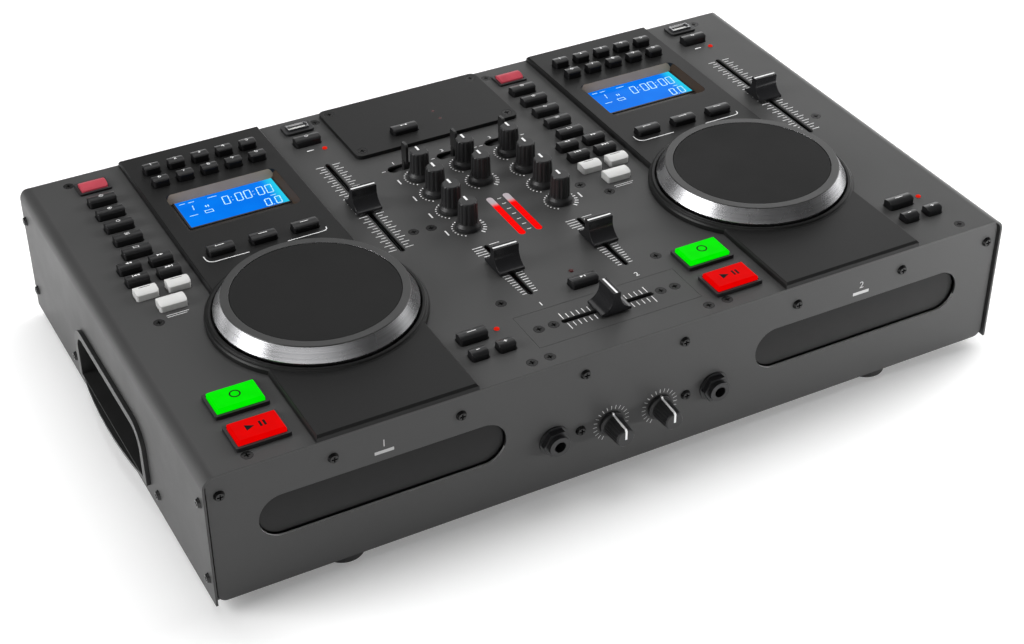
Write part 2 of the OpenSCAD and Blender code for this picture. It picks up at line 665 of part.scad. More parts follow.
// Inlet for a mains lead, with the two cut corners that key its plug and three contact pins
module mains_inlet() color(BLACK) on_rear(INLET_X, REAR_Z) {
  difference() {
    union() {
      linear_extrude(2.4) rounded(31, 24, 3);
      translate([0, 0, -18]) linear_extrude(18.1) square([27, 20], center = true);
    }
    translate([0, 0, -15.6]) linear_extrude(20)
      polygon([[-12, 8.2], [12, 8.2], [12, -3.7], [7.5, -8.2], [-7.5, -8.2], [-12, -3.7]]);
  }
  for (p = [[-7, 2], [7, 2], [0, -2]]) translate([p[0], p[1], -16]) linear_extrude(14)
    square([2, 4], center = true);
}
module rca_socket() difference() {
  union() {
    cylinder(r = 5.4, h = 1.2);
    translate([0, 0, -1]) cylinder(r = 4.15, h = 10);
    translate([-5.5, -5.5, -14]) cube([11, 11, 14 - sheet_t]);
    translate([0, 0, -sheet_t - 1]) cylinder(r = 4.4, h = sheet_t + 1.5);
  }
  translate([0, 0, -8]) cylinder(r = 1.65, h = 20, $fn = 24);
}
module rear_sockets() color(BLACK) {
  for (x = RCA_X, z = RCA_Z) on_rear(x, z) rca_socket();
  // ground post with its thumb nut
  on_rear(GROUND_AT[0], GROUND_AT[1]) {
    translate([0, 0, -6]) cylinder(r = 2.4, h = 18, $fn = 24);
    translate([0, 0, 4]) cylinder(r = 4.8, h = 6);
  }
  on_rear(SWITCH_X, REAR_Z) difference() {
    union() {
      linear_extrude(1.6) square([SWITCH_HOLE[0] + 6, SWITCH_HOLE[1] + 6], center = true);
      translate([0, 0, -14]) linear_extrude(14.1) square(SWITCH_HOLE + [3, 3], center = true);
    }
    translate([0, 0, -12]) linear_extrude(20) square(SWITCH_HOLE, center = true);
    rotate([0, 90, 0]) cylinder(r = rocker_pin_r + fit, h = SWITCH_HOLE[0] + 2, center = true, $fn = 32);
  }
}

// Rocker, tilted about its pivot pin so that its upper half is pressed in
rocker_tilt = 9;
rocker_pin_r = 1.2;
module power_rocker() color([0.5, 0.05, 0.05]) on_rear(SWITCH_X, REAR_Z) {
  rotate([rocker_tilt, 0, 0]) rotate([90, 0, 90]) linear_extrude(SWITCH_HOLE[0] - 0.8, center = true)
    polygon([[-7.5, -5], [7.5, -5], [9.6, 1], [0, 3.4], [-9.6, 1]]);
  rotate([0, 90, 0]) cylinder(r = rocker_pin_r, h = SWITCH_HOLE[0] + 1.6, center = true, $fn = 32);
}

// ---------- circuit boards ----------

module board(x0, x1, y0, y1) translate([x0, y0, -board_drop - board_t]) cube([x1 - x0, y1 - y0, board_t]);
module tact_switch() translate([-3, -3, -board_drop - 0.1])
  cube([6, 6, board_drop - stem_drop - key_travel - 0.2]);
module rotary_pot() difference() {
  union() {
    translate([-5.5, -6, -board_drop - 0.1]) cube([11, 12, 7]);
    translate([0, 0, -8]) cylinder(r = 3.5, h = 8 - sheet_t + 1, $fn = 32);
  }
  translate([0, 0, -13]) cylinder(r = axle_r + fit, h = 20, $fn = 48);
}
// Fader body along Y with the slot that its stem runs in
module fader_body(l, w = 8.4) difference() {
  translate([-w / 2, -l / 2, -board_drop - 0.1]) cube([w, l, board_drop - 3]);
  translate([-1.3, -l / 2 + 3, -board_drop + 2]) cube([2.6, l - 6, 20]);
}

module deck_board(i) at_deck(i) {
  difference() {
    board(-86, 78, -138, 142);
    translate([0, jog_y, -20]) cylinder(r = 9, h = 20);
  }
  mode_key_places() tact_switch();
  search_key_places() tact_switch();
  white_key_places() tact_switch();
  number_key_places() tact_switch();
  loop_key_places() tact_switch();
  step_key_places() tact_switch();
  for (p = [[strip_x, wide_white_y], source_at, pitch_key_at, eject_at, cue_at, play_at]) translate(p)
    tact_switch();
  translate(pitch_fader_at) fader_body(pitch_travel + 22);
}
module mixer_board() on_top() {
  difference() {
    board(-47, 47, -138, 96);
    for (k = [-1, 0, 1]) translate([k * selector_x, selector_y, -16]) cube([27, 9, 9], center = true);
  }
  for (s = [-1, 1]) {
    for (k = [0:3]) translate([s * knob_x, knob_top_y - k * knob_pitch]) rotary_pot();
    translate([s * knob_x, channel_y]) fader_body(fader_travel + 17);
  }
  for (k = [0, 1]) translate([0, knob_top_y - k * knob_pitch]) rotary_pot();
  translate([0, cross_y]) rotate(90) fader_body(fader_travel + 17);
  translate(start_key_at) tact_switch();
}
module front_board() {
  translate([-38, panel_back_y + 10, foot_h + 14]) cube([76, board_t, 36]);
  for (x = front_knob_x) on_front(x, front_knob_z) difference() {
    union() {
      translate([-6, -6, -sheet_t - 9.1]) cube([12, 12, 8]);
      translate([0, 0, -sheet_t - 2]) cylinder(r = 3.5, h = sheet_t + 2.2, $fn = 32);
    }
    translate([0, 0, -9]) cylinder(r = axle_r + fit, h = 20, $fn = 48);
  }
}
// Power supply on pillars above the floor, behind the right drive
module power_board() translate([118, 62, foot_h + sheet_t]) {
  for (x = [4, 76], y = [4, 46]) translate([x, y, 0]) cylinder(r = 3, h = 6.1, $fn = 24);
  translate([0, 0, 6]) cube([80, 50, board_t]);
  translate([8, 10, 7.5]) cube([26, 28, 20]);
  translate([42, 12, 7.5]) cylinder(r = 8, h = 22);
  translate([60, 10, 7.5]) cube([3, 30, 24]);
  translate([68, 30, 7.5]) cylinder(r = 5, h = 14);
}
// Main board with the decoder of each drive, on pillars above the floor
module decoder_board() translate([-60, 24, foot_h + sheet_t]) {
  for (x = [4, 116], y = [4, 86]) translate([x, y, 0]) cylinder(r = 3, h = 8.1, $fn = 24);
  translate([0, 0, 8]) cube([120, 90, board_t]);
  for (x = [26, 94]) translate([x - 10, 40, 9.5]) cube([20, 20, 1.8]);
  for (x = [26, 60, 94]) translate([x, 22, 9.5]) cylinder(r = 4, h = 9, $fn = 32);
}
module circuit_boards() color([0.05, 0.3, 0.15]) {
  for (i = [0, 1]) deck_board(i);
  mixer_board();
  front_board();
  power_board();
  decoder_board();
  on_top() translate([pair_key_at[0] - 12, pair_key_at[1] - 2, -board_drop - board_t]) {
    cube([24, 30, board_t]);
    translate([12, 2, board_drop + board_t]) tact_switch();
  }
}

// ---------- drives ----------

// Involute spur gear outline in the XY plane; the flank points follow the involute of the base circle
function involute(base_r, t) = base_r * [cos(t) + t * PI / 180 * sin(t), sin(t) - t * PI / 180 * cos(t)];
module spur_outline(teeth, mod) {
  pitch_r = teeth * mod / 2;
  base_r = pitch_r * cos(20);
  tip_r = pitch_r + mod;
  tip_t = sqrt(pow(tip_r / base_r, 2) - 1) * 180 / PI;
  pitch_t = sqrt(pow(pitch_r / base_r, 2) - 1) * 180 / PI;
  pitch_p = involute(base_r, pitch_t);
  half = 90 / teeth - backlash * 90 / (PI * pitch_r) + atan2(pitch_p[1], pitch_p[0]);
  flank = [for (k = [0:6]) let (p = involute(base_r, tip_t * k / 6)) [norm(p), atan2(p[1], p[0])]];
  circle(pitch_r - 1.25 * mod);
  for (i = [0:teeth - 1]) rotate(i * 360 / teeth) polygon(concat(
    [[(pitch_r - 1.6 * mod) * cos(half), -(pitch_r - 1.6 * mod) * sin(half)]],
    [for (f = flank) f[0] * [cos(f[1] - half), sin(f[1] - half)]],
    [for (k = [6:-1:0]) flank[k][0] * [cos(half - flank[k][1]), sin(half - flank[k][1])]],
    [[(pitch_r - 1.6 * mod) * cos(half), (pitch_r - 1.6 * mod) * sin(half)]]));
}

// Rack teeth pointing to +X, pitch line on x = 0, running from y0 to y1 with a tooth gap at y = gear_y
module rack_outline(y0, y1, mod) {
  pitch = PI * mod;
  lean = tan(20) * mod;
  thick = pitch / 2 - backlash / 2;
  translate([-4.5, y0]) square([4.5 - 1.25 * mod, y1 - y0]);
  first = ceil((y0 + 2 - gear_y) / pitch - 0.5);
  last = floor((y1 - 2 - gear_y) / pitch - 0.5);
  for (k = [first:last]) translate([0, gear_y + (k + 0.5) * pitch])
    polygon([[-1.5 * mod, -thick / 2 - 1.5 * lean], [mod, -thick / 2 + lean], [mod, thick / 2 - lean],
             [-1.5 * mod, thick / 2 + 1.5 * lean]]);
}

module disc_tray(i) color(BLACK) at_drive(i) {
  // drawer front
  translate([0, bezel_y + bezel_t, slot_z]) rotate([90, 0, 0]) linear_extrude(bezel_t) drawer_opening(0.7);
  difference() {
    translate([-tray_w / 2, bezel_y + bezel_t - 0.1, tray_z])
      cube([tray_w, tray_back_y - bezel_y - bezel_t, tray_t]);
    // recesses for a 120 mm and an 80 mm disc
    translate([0, disc_y, tray_z + tray_t - 2.2]) cylinder(r = 61, h = 9, $fn = 128);
    translate([0, disc_y, tray_z + tray_t - 3.4]) cylinder(r = 41, h = 9, $fn = 96);
    // path of the hub and the pickup
    translate([0, disc_y, tray_z - 1]) cylinder(r = 17, h = 20);
    translate([-17, disc_y, tray_z - 1]) cube([34, 200, 20]);
  }
  translate([rack_x, 0, tray_z - gear_t - 0.4]) linear_extrude(gear_t + 0.5)
    rack_outline(bezel_y + bezel_t - 0.1, tray_back_y - 0.1, gear_module);
}

module tray_gear(i) color([0.9, 0.9, 0.85]) at_drive(i) translate([gear_x, gear_y, tray_z - gear_t - 0.4])
  difference() {
  union() {
    linear_extrude(gear_t) rotate(180 / gear_teeth * (gear_teeth % 2) + 180)
      spur_outline(gear_teeth, gear_module);
    translate([0, 0, -3]) cylinder(r = 4, h = 3.1, $fn = 32);
  }
  translate([0, 0, -9]) cylinder(r = 1.6, h = 20, $fn = 32);
}

module disc_hub(i) color([0.7, 0.7, 0.7]) at_drive(i) translate([0, disc_y, 0]) {
  translate([0, 0, tray_z + 1]) cylinder(r = 14.5, h = 4.6);
  translate([0, 0, tray_z + 5.5]) cylinder(r1 = 7.4, r2 = 6, h = 2.2);
  translate([0, 0, loader_z + loader_floor + 4])
    cylinder(r = 1.5, h = tray_z - loader_z - loader_floor - 2.9, $fn = 32);
}

module disc_loader(i) at_drive(i) {
  y0 = bezel_y + bezel_t + 1.2;
  y1 = tray_back_y + 8;
  inner = loader_half_w - loader_wall;
  motor_z = tray_z - 4;
  wall_h = tray_z + tray_t + 8 - loader_z;
  difference() {
    union() {
      translate([-loader_half_w, y0, loader_z]) cube([2 * loader_half_w, y1 - y0, loader_floor]);
      for (s = [-1, 1]) {
        translate([s * (inner + loader_wall / 2) - loader_wall / 2, y0, loader_z])
          cube([loader_wall, y1 - y0, wall_h]);
        // rails above and below the edge of the tray
        translate([s * (inner - 3) - 3.1, y0, tray_z - 2.8]) cube([6.2, y1 - y0, 2.4]);
        for (y = [-128, -76, -24]) translate([s * (inner - 2.5) - 2.6, y, tray_z + tray_t + 0.4])
          cube([5.2, 16, 2.4]);
        for (y = [y0 + 16, y1 - 16]) translate([s * (loader_half_w - 6), y, foot_h + sheet_t])
          cylinder(r = 4, h = 19, $fn = 24);
      }
      translate([-loader_half_w, y1 - loader_wall, loader_z]) cube([2 * loader_half_w, loader_wall, wall_h]);
      // clamp bridge with the clamp puck under it
      translate([-loader_half_w, disc_y - 20, loader_z + wall_h - 0.1]) cube([2 * loader_half_w, 40, 2]);
      translate([0, disc_y, tray_z + tray_t + 3.2]) cylinder(r = 13, h = 5);
      // spindle motor and gear pin
      translate([0, disc_y, loader_z + loader_floor - 0.1])
        cylinder(r = 11, h = motor_z - loader_z - loader_floor);
      translate([gear_x, gear_y, loader_z + loader_floor - 0.1])
        cylinder(r = 4, h = tray_z - 8 - loader_z - loader_floor, $fn = 32);
      translate([gear_x, gear_y, loader_z]) cylinder(r = 1.55, h = tray_z - 0.6 - loader_z, $fn = 32);
      // pickup on its two guide rods
      translate([-12, disc_y + 24, tray_z - 3]) cube([24, 20, 7]);
      for (s = [-1, 1]) translate([s * 9, disc_y + 12, tray_z - 1]) rotate([-90, 0, 0])
        cylinder(r = 1.5, h = y1 - disc_y - 13, $fn = 24);
    }
    translate([0, disc_y, loader_z + loader_floor + 2]) cylinder(r = 1.5 + fit, h = 20, $fn = 32);
  }
}
module disc_loaders() color([0.12, 0.12, 0.13]) for (i = [0, 1]) disc_loader(i);

// ---------- moving controls ----------

module jog_wheel(i) color([0.55, 0.55, 0.57]) at_deck(i) translate([0, jog_y, 0]) rotate_extrude($fn = 180)
  polygon([[0, -13], [axle_r, -13], [axle_r, jog_h - 4.4], [rim_r - 3, jog_h - 4.4],
           [jog_r - 1.8, collar_top - 1], [jog_r, collar_top - 1], [jog_r, collar_top + 1.2],
           [rim_r + 0.4, jog_h - 0.5], [rim_r, jog_h], [pad_r + 0.1, jog_h],
           [pad_r + 0.1, jog_h - pad_t], [0, jog_h - pad_t]]);

module jog_pad(i) color(BLACK) at_deck(i) translate([0, jog_y, jog_h - pad_t]) rotate_extrude($fn = 180)
  polygon([[0, 0], [pad_r, 0], [pad_r, pad_t - 0.5], [pad_r - 0.4, pad_t - 0.1], [0, pad_t - 0.1]]);

// Fader cap that slides along Y, with concave flanks and its stem below
module fader_cap() {
  l = 18;
  w = 15.2;
  ridge = 2.2;
  flank_r = 8.2;
  color(BLACK) difference() {
    translate([-w / 2, -l / 2, 0.8]) cube([w, l, fader_h - 0.8]);
    for (s = [-1, 1]) {
      translate([0, s * (ridge + flank_r), fader_h - 3.2]) rotate([0, 90, 0])
        cylinder(r = flank_r, h = 2 * w, center = true);
      translate([-w, s * (ridge + 5) - 5, fader_h - 3.2]) cube([2 * w, 10, 9]);
    }
  }
  color(BLACK) translate([-stem_w / 2, -stem_l / 2, -9]) cube([stem_w, stem_l, 11]);
}
module pitch_fader(i) at_deck(i) translate(pitch_fader_at) fader_cap();
module channel_fader(i) on_top() translate([(2 * i - 1) * knob_x, channel_y + channel_rest]) fader_cap();
module crossfader() on_top() translate([cross_rest, cross_y]) rotate(90) fader_cap();

// Mixer knob with a fluted, slightly tapered barrel; its pointer faces the rear panel
module mixer_knob() color([0.07, 0.07, 0.07]) {
  foot = 2.4;
  flare = 1.6;
  body_r = knob_r - 1.5;
  top_r = knob_r - 1.9;
  difference() {
    union() {
      translate([0, 0, 0.5]) cylinder(r1 = knob_r, r2 = knob_r - 0.2, h = foot - 0.5);
      translate([0, 0, foot]) cylinder(r1 = knob_r - 0.2, r2 = body_r, h = flare);
      translate([0, 0, foot + flare]) cylinder(r1 = body_r, r2 = top_r, h = knob_h - foot - flare - 0.8);
      translate([0, 0, knob_h - 0.8]) cylinder(r1 = top_r, r2 = top_r - 0.7, h = 0.8);
    }
    // flutes, with none under the pointer
    for (a = [0:12]) rotate(90 + (a + 0.5) * 360 / 13) translate([body_r + 0.65, 0, foot + flare + 0.6])
      rotate([0, -1.8, 0]) cylinder(r = 1.1, h = knob_h, $fn = 16);
  }
  translate([-0.6, 0.4, knob_h - 0.9]) cube([1.2, top_r - 1, 1.1]);
  translate([0, 0, -9]) cylinder(r = axle_r, h = 10, $fn = 48);
}
// Column -1, 0 or 1 and row from the rear
module mixer_knob_at(column, row) on_top() translate([column * knob_x, knob_top_y - row * knob_pitch, 0])
  mixer_knob();

// Knob on the front panel, pointer up
module front_knob(x) color([0.07, 0.07, 0.07]) on_front(x, front_knob_z) {
  foot = 3;
  end = front_knob_l;
  difference() {
    union() {
      translate([0, 0, 0.6]) cylinder(r = 7.5, h = 1.5);
      translate([0, 0, 2]) cylinder(r1 = 7.2, r2 = 6.1, h = foot - 2);
      translate([0, 0, foot]) cylinder(r1 = 6.1, r2 = 5.4, h = end - foot - 0.8);
      translate([0, 0, end - 0.8]) cylinder(r1 = 5.4, r2 = 4.6, h = 0.8);
    }
    for (a = [1:17]) rotate(90 + a * 20) translate([6.6, 0, foot + 0.8]) rotate([0, -3.2, 0])
      cylinder(r = 0.8, h = 20, $fn = 16);
  }
  // raised pointer along the body and down its end
  rotate([0, -90, 0]) linear_extrude(1.2, center = true) polygon([[1.6, 7.1], [foot, 6.5], [end - 0.7, 5.75],
    [end + 0.2, 4.9], [end + 0.2, -0.5], [end - 0.6, -0.5], [end - 0.6, 4], [1.6, 5]]);
  translate([0, 0, -8]) cylinder(r = axle_r, h = 9, $fn = 48);
}

// Source selector lever that swings about Y below the top sheet
module selector(k) color(BLACK) on_top() translate([k * selector_x, selector_y, 0]) {
  // stem, and the blade that the finger pushes
  translate([-1.5, -1.6, -selector_pivot]) cube([3, 3.2, selector_pivot + 4]);
  translate([0, 0, 9.4]) rotate([90, 0, 90]) linear_extrude(1.6, center = true) rounded(6.4, 12.6, 1.8);
  translate([0, 0, -selector_pivot]) rotate([90, 0, 0]) cylinder(r = 3.2, h = 6, center = true, $fn = 32);
  // dust shield under the slot
  intersection() {
    translate([0, 0, -selector_pivot]) rotate([90, 0, 0]) difference() {
      cylinder(r = 18, h = selector_slot[1] + 1.2, center = true, $fn = 96);
      cylinder(r = 17, h = 9, center = true, $fn = 96);
    }
    translate([-10, -5, -8]) cube([20, 10, 9]);
  }
}

module lit_cap(size, h) {
  translate([0, 0, -2]) linear_extrude(h + 1) rounded(size[0], size[1], 0.8);
  intersection() {
    translate([0, 0, h - 1]) linear_extrude(1) rounded(size[0], size[1], 0.8);
    recess_cutter(size[0] + 0.01, size[1] + 0.01, h, h - 1.01, 1, 0.8);
  }
  translate([0, 0, -stem_drop + 0.5]) cylinder(r = 1.4, h = stem_drop - 2, $fn = 24);
}
module cue_button(i) color([0.05, 0.9, 0.15]) at_deck(i) translate(cue_at) lit_cap(button_size, cap_h);
module play_button(i) color([0.95, 0.05, 0.05]) at_deck(i) translate(play_at) lit_cap(button_size, cap_h);
module eject_key(i) color([0.85, 0.15, 0.25]) at_deck(i) translate(eject_at)
  crowned_key(eject_size, 3.2, -2, 1.3, -stem_drop + 0.5);

module number_keys(i) color(BLACK) at_deck(i) translate([0, 0, plate_t])
  number_key_places() plate_key(NUMBER_KEY, key_h);

module deck_keys(i) color(BLACK) at_deck(i) {
  mode_key_places() key(KEY, key_h);
  search_key_places() key(SHORT_KEY, key_h);
  white_key_places() key(WHITE_KEY, key_h);
  translate([strip_x, wide_white_y]) key(WIDE_KEY, key_h);
  translate(source_at) key(KEY, key_h);
  translate(pitch_key_at) key(KEY, key_h);
  step_key_places() key(STEP_KEY, key_h - 0.4);
  translate([0, 0, plate_t]) loop_key_places() plate_key(LOOP_KEY, key_h - 0.8);
}

module mixer_keys() color(BLACK) on_top() {
  translate(start_key_at) key(KEY, key_h - 0.6);
  translate(pair_key_at) key(KEY, key_h + 1.4);
}

// ---------- what is drawn ----------

function shown(name) = node == "all" || node == name;

if (shown("top_cover")) top_cover();
if (shown("chassis_pan")) chassis_pan();
if (shown("front_panel")) front_panel();
if (shown("lcd_windows")) lcd_windows();
if (shown("mixer_plates")) mixer_plates();
if (shown("indicator_lamps")) indicator_lamps();
if (shown("feet")) feet();
if (shown("panel_screws")) panel_screws();
if (shown("side_handles")) side_handles();
if (shown("usb_sockets")) usb_sockets();
if (shown("front_jacks")) front_jacks();
if (shown("rear_sockets")) rear_sockets();
if (shown("mains_inlet")) mains_inlet();
if (shown("circuit_boards")) circuit_boards();
if (shown("disc_loaders")) disc_loaders();
if (shown("key_frames")) key_frames();
for (i = [0, 1]) {
  if (shown(str("deck_plate_", SIDES[i]))) deck_plate(i);
  if (shown(str("jog_wheel_", SIDES[i]))) jog_wheel(i);
  if (shown(str("jog_pad_", SIDES[i]))) jog_pad(i);
  if (shown(str("disc_tray_", SIDES[i]))) disc_tray(i);
  if (shown(str("tray_gear_", SIDES[i]))) tray_gear(i);
  if (shown(str("disc_hub_", SIDES[i]))) disc_hub(i);
  if (shown(str("pitch_fader_", SIDES[i]))) pitch_fader(i);
  if (shown(str("channel_fader_", SIDES[i]))) channel_fader(i);
  if (shown(str("level_knob_", SIDES[i]))) mixer_knob_at(2 * i - 1, 0);
  if (shown(str("high_knob_", SIDES[i]))) mixer_knob_at(2 * i - 1, 1);
  if (shown(str("mid_knob_", SIDES[i]))) mixer_knob_at(2 * i - 1, 2);
  if (shown(str("low_knob_", SIDES[i]))) mixer_knob_at(2 * i - 1, 3);
  if (shown(str("cue_button_", SIDES[i]))) cue_button(i);
  if (shown(str("play_button_", SIDES[i]))) play_button(i);
  if (shown(str("eject_key_", SIDES[i]))) eject_key(i);
  if (shown(str("number_keys_", SIDES[i]))) number_keys(i);
  if (shown(str("deck_keys_", SIDES[i]))) deck_keys(i);
}
if (shown("crossfader")) crossfader();
if (shown("selector_a")) selector(-1);
if (shown("selector_cue")) selector(0);
if (shown("selector_b")) selector(1);
if (shown("master_knob")) mixer_knob_at(0, 0);
if (shown("cue_mix_knob")) mixer_knob_at(0, 1);
if (shown("mic_knob")) front_knob(front_knob_x[0]);
if (shown("phones_knob")) front_knob(front_knob_x[1]);
if (shown("power_rocker")) power_rocker();
if (shown("mixer_keys")) mixer_keys();
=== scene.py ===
import math
import bmesh
import bpy
from mathutils import Matrix, Vector
from mathutils.bvhtree import BVHTree


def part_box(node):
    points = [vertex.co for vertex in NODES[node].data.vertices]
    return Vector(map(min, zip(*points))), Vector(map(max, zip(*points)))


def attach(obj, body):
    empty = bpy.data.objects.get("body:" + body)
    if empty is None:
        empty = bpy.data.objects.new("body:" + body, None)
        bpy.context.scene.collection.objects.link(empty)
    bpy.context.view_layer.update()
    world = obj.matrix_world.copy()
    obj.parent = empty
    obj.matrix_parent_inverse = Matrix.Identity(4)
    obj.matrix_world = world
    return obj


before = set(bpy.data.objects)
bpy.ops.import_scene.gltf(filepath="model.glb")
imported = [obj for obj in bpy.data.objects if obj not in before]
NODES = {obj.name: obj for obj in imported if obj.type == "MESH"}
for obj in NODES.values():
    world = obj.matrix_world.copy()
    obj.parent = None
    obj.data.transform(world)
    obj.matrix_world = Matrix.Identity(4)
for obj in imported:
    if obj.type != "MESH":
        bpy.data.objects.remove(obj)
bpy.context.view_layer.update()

MM = 0.001
DECKS = "ab"
DECK_NUMBER = {"a": "1", "b": "2"}
SELECTORS = ("selector_a", "selector_cue", "selector_b")


def middle(node):
    """The centre of a node's box, in millimetres."""
    low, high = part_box(node)
    return (low + high) / 2 / MM


def lowest(node):
    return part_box(node)[0] / MM


def highest(node):
    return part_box(node)[1] / MM


# ---------------------------------------------------------------- places

TOP = highest("top_cover").z
PLATE = TOP + 3.5
FRONT = lowest("front_panel").y
REAR = highest("chassis_pan").y
DECK_X = {s: middle(f"jog_wheel_{s}").x for s in DECKS}
JOG_Y = middle("jog_wheel_a").y
LCD_Y = middle("lcd_windows").y
LCD_TOP = highest("lcd_windows").z
# the glass stands back from the front wall of its recess
LCD_GLASS = (60.0, 29.2)
LCD_AT = (0.9, LCD_Y + 5.0)
SIDE_X = highest("top_cover").x
USB = (65.4, middle("usb_sockets").y)
INLET = middle("mains_inlet")

# Boxes that pick faces out of a node: half sizes, or lower and upper limits
WHITE_KEYS_X = -45
WHITE_KEYS_Y = (-11, 15.5)
DECK_LAMPS_X = 50
METER_HALF_X = 8
METER_Y = (-34.5, 11.5)
LCD_RECESS = (34, 21.5)
USB_SHELL = (6.75, 3.1)
USB_TONGUE = (5.65, 0.95)
USB_TONGUE_RISE = 0.6
INLET_PINS = (8.2, 4.1)
INLET_DEPTH = 16.2
BOARDS_TOP = TOP - 13.8
JOG_RIM_Z = TOP + 13.0
DRAWER_SLOT_X = 60
DRAWER_SLOT_Z = (15, 55)
PHONO_X = 30
GROUND_POST_X = -75

# Print. On a deck, x is measured from the middle of its jog wheel. The signs lie 0.4 to 1.6 mm behind the
# middles of their keys.
INK_T = 0.06
INK_SINK = 0.02
STRIP_X = -65.5
PAIR_X = 9
MODE_SIGN_Y = 111.2
MODE_PITCH = 15.05
SEARCH_SIGN_Y = 37.4
SKIP_SIGN_Y = 24.2
WHITE_SIGN_Y = 12
NUMBER_PITCH = (14.95, 15.4)
NUMBER_RISE = 1.2
LOOP_X = -0.5
LOOP_SIGN_Y = 27.0
LOOP_PITCH = 25
SOURCE_SIGN = (64.3, 117.6)
PITCH_SIGN = (60.6, -107)
MINUS_SIGN = (56.6, -122.2)
PLUS_SIGN = (72.4, -122.2)
LIT_CAP_X = -66.3
CUE_SIGN_Y = -98.2
PLAY_SIGN_Y = -126.2
START_SIGN = (0, -89.8)
PAIR_SIGN = (-16.2, 99.4)
PITCH_SCALE_Y = 36.2
PITCH_SCALE = 100
CHANNEL_SCALE_Y = -59.2
CROSS_SCALE_Y = -116.9
SHORT_SCALE = 51.4
CHANNEL_NUMBER_Y = -97
SELECTOR_X = 32
SELECTOR_MARKS_Y = 64.2
SELECTOR_NUMBER = (-5, 70.6)
KNOB_LABEL_X = 13.2
KNOB_LABEL_Y = 49.8
KNOB_PITCH = 20.6
METER_MARKS_Y = -11.5
LABEL_LINES_Y = -14
PITCH_LABEL = (62.5, 107.5)
KNOB_RING_R = 9.0
SELECTOR_DASH_X = 14
FRONT_RING = (8.75, 11.05)
FRONT_RING_START = -60
FRONT_RING_STEP = 15
FRONT_RING_MARKS = 21
FRONT_NUMBER_Z = 72
FRONT_BAR_Z = 66.8


# ---------------------------------------------------------------- materials

class Graph:
    """A material's node tree with short calls to add and link nodes."""

    def __init__(self, name):
        self.material = bpy.data.materials.new(name)
        self.material.use_nodes = True
        self.tree = self.material.node_tree
        self.shader = self.tree.nodes["Principled BSDF"]
        self.coords = self.node("ShaderNodeTexCoord").outputs["Object"]

    def node(self, kind, inputs=None, **settings):
        made = self.tree.nodes.new(kind)
        for key, value in settings.items():
            setattr(made, key, value)
        for key, value in (inputs or {}).items():
            self.put(made.inputs[key], value)
        return made

    def put(self, socket, value):
        if isinstance(value, bpy.types.NodeSocket):
            self.tree.links.new(value, socket)
        else:
            socket.default_value = value

    def math(self, operation, a, b=0.0):
        return self.node("ShaderNodeMath", {0: a, 1: b}, operation=operation).outputs[0]

    def noise(self, size, detail=3.0, vector=None):
        """Noise from 0 to 1 with features about size millimetres across."""
        made = self.node("ShaderNodeTexNoise", {"Vector": vector or self.coords, "Detail": detail})
        made.inputs["Scale"].default_value = 1.0 / (size * MM)
        return made.outputs["Fac"]

    def between(self, factor, low, high):
        """Maps 0.3..0.7 of a noise to low..high."""
        return self.node("ShaderNodeMapRange", {"Value": factor, "From Min": 0.3, "From Max": 0.7,
                                                "To Min": low, "To Max": high}).outputs["Result"]

    def mix(self, factor, a, b):
        made = self.node("ShaderNodeMix", data_type="RGBA")
        self.put(made.inputs["Factor"], factor)
        self.put(made.inputs[6], a)
        self.put(made.inputs[7], b)
        return made.outputs[2]

    def bump(self, height, strength, depth, normal):
        return self.node("ShaderNodeBump", {"Height": height, "Strength": strength, "Distance": depth * MM,
                                            "Normal": normal}).outputs["Normal"]

    def soft_edges(self, radius):
        return self.node("ShaderNodeBevel", {"Radius": radius * MM}, samples=4).outputs["Normal"]


def shade(color, factor):
    return tuple(min(1.0, c * factor) for c in color) + (1.0,)


def moulded(name, color, roughness, metallic=0.0, tone=0.10, tone_size=9.0, grain=0.25, grain_size=0.5,
            depth=0.02, edge=0.25, specular=0.5):
    """A surface with a slow change of tone, a fine grain in its relief and gloss, and softened edges."""
    g = Graph(name)
    slow = g.noise(tone_size, 4.0)
    fine = g.noise(grain_size, 2.0)
    tones = g.mix(g.between(slow, 0.0, 1.0), shade(color, 1 - tone), shade(color, 1 + tone))
    speckled = g.mix(g.between(fine, 0.0, 0.35), tones, shade(color, 1 + 2.5 * tone))
    g.put(g.shader.inputs["Base Color"], speckled)
    g.put(g.shader.inputs["Roughness"], g.between(slow, roughness * 0.92, min(1.0, roughness * 1.08)))
    g.shader.inputs["Metallic"].default_value = metallic
    g.shader.inputs["Specular IOR Level"].default_value = specular
    g.put(g.shader.inputs["Normal"], g.bump(fine, grain, depth, g.soft_edges(edge)))
    return g.material


def glowing(name, color, strength, body):
    """A lit translucent part: brighter over its lamp in patches, with a gloss over it."""
    g = Graph(name)
    patches = g.noise(7.0, 1.0)
    g.put(g.shader.inputs["Base Color"], g.mix(g.between(patches, 0, 1), shade(body, 0.8), shade(body, 1)))
    lit = g.mix(g.between(patches, 0, 1), shade(color, 0.93), shade(color, 1))
    g.put(g.shader.inputs["Emission Color"], lit)
    g.shader.inputs["Emission Strength"].default_value = strength
    g.shader.inputs["Roughness"].default_value = 0.3
    g.shader.inputs["Specular IOR Level"].default_value = 0.02
    g.put(g.shader.inputs["Normal"], g.soft_edges(0.4))
    return g.material


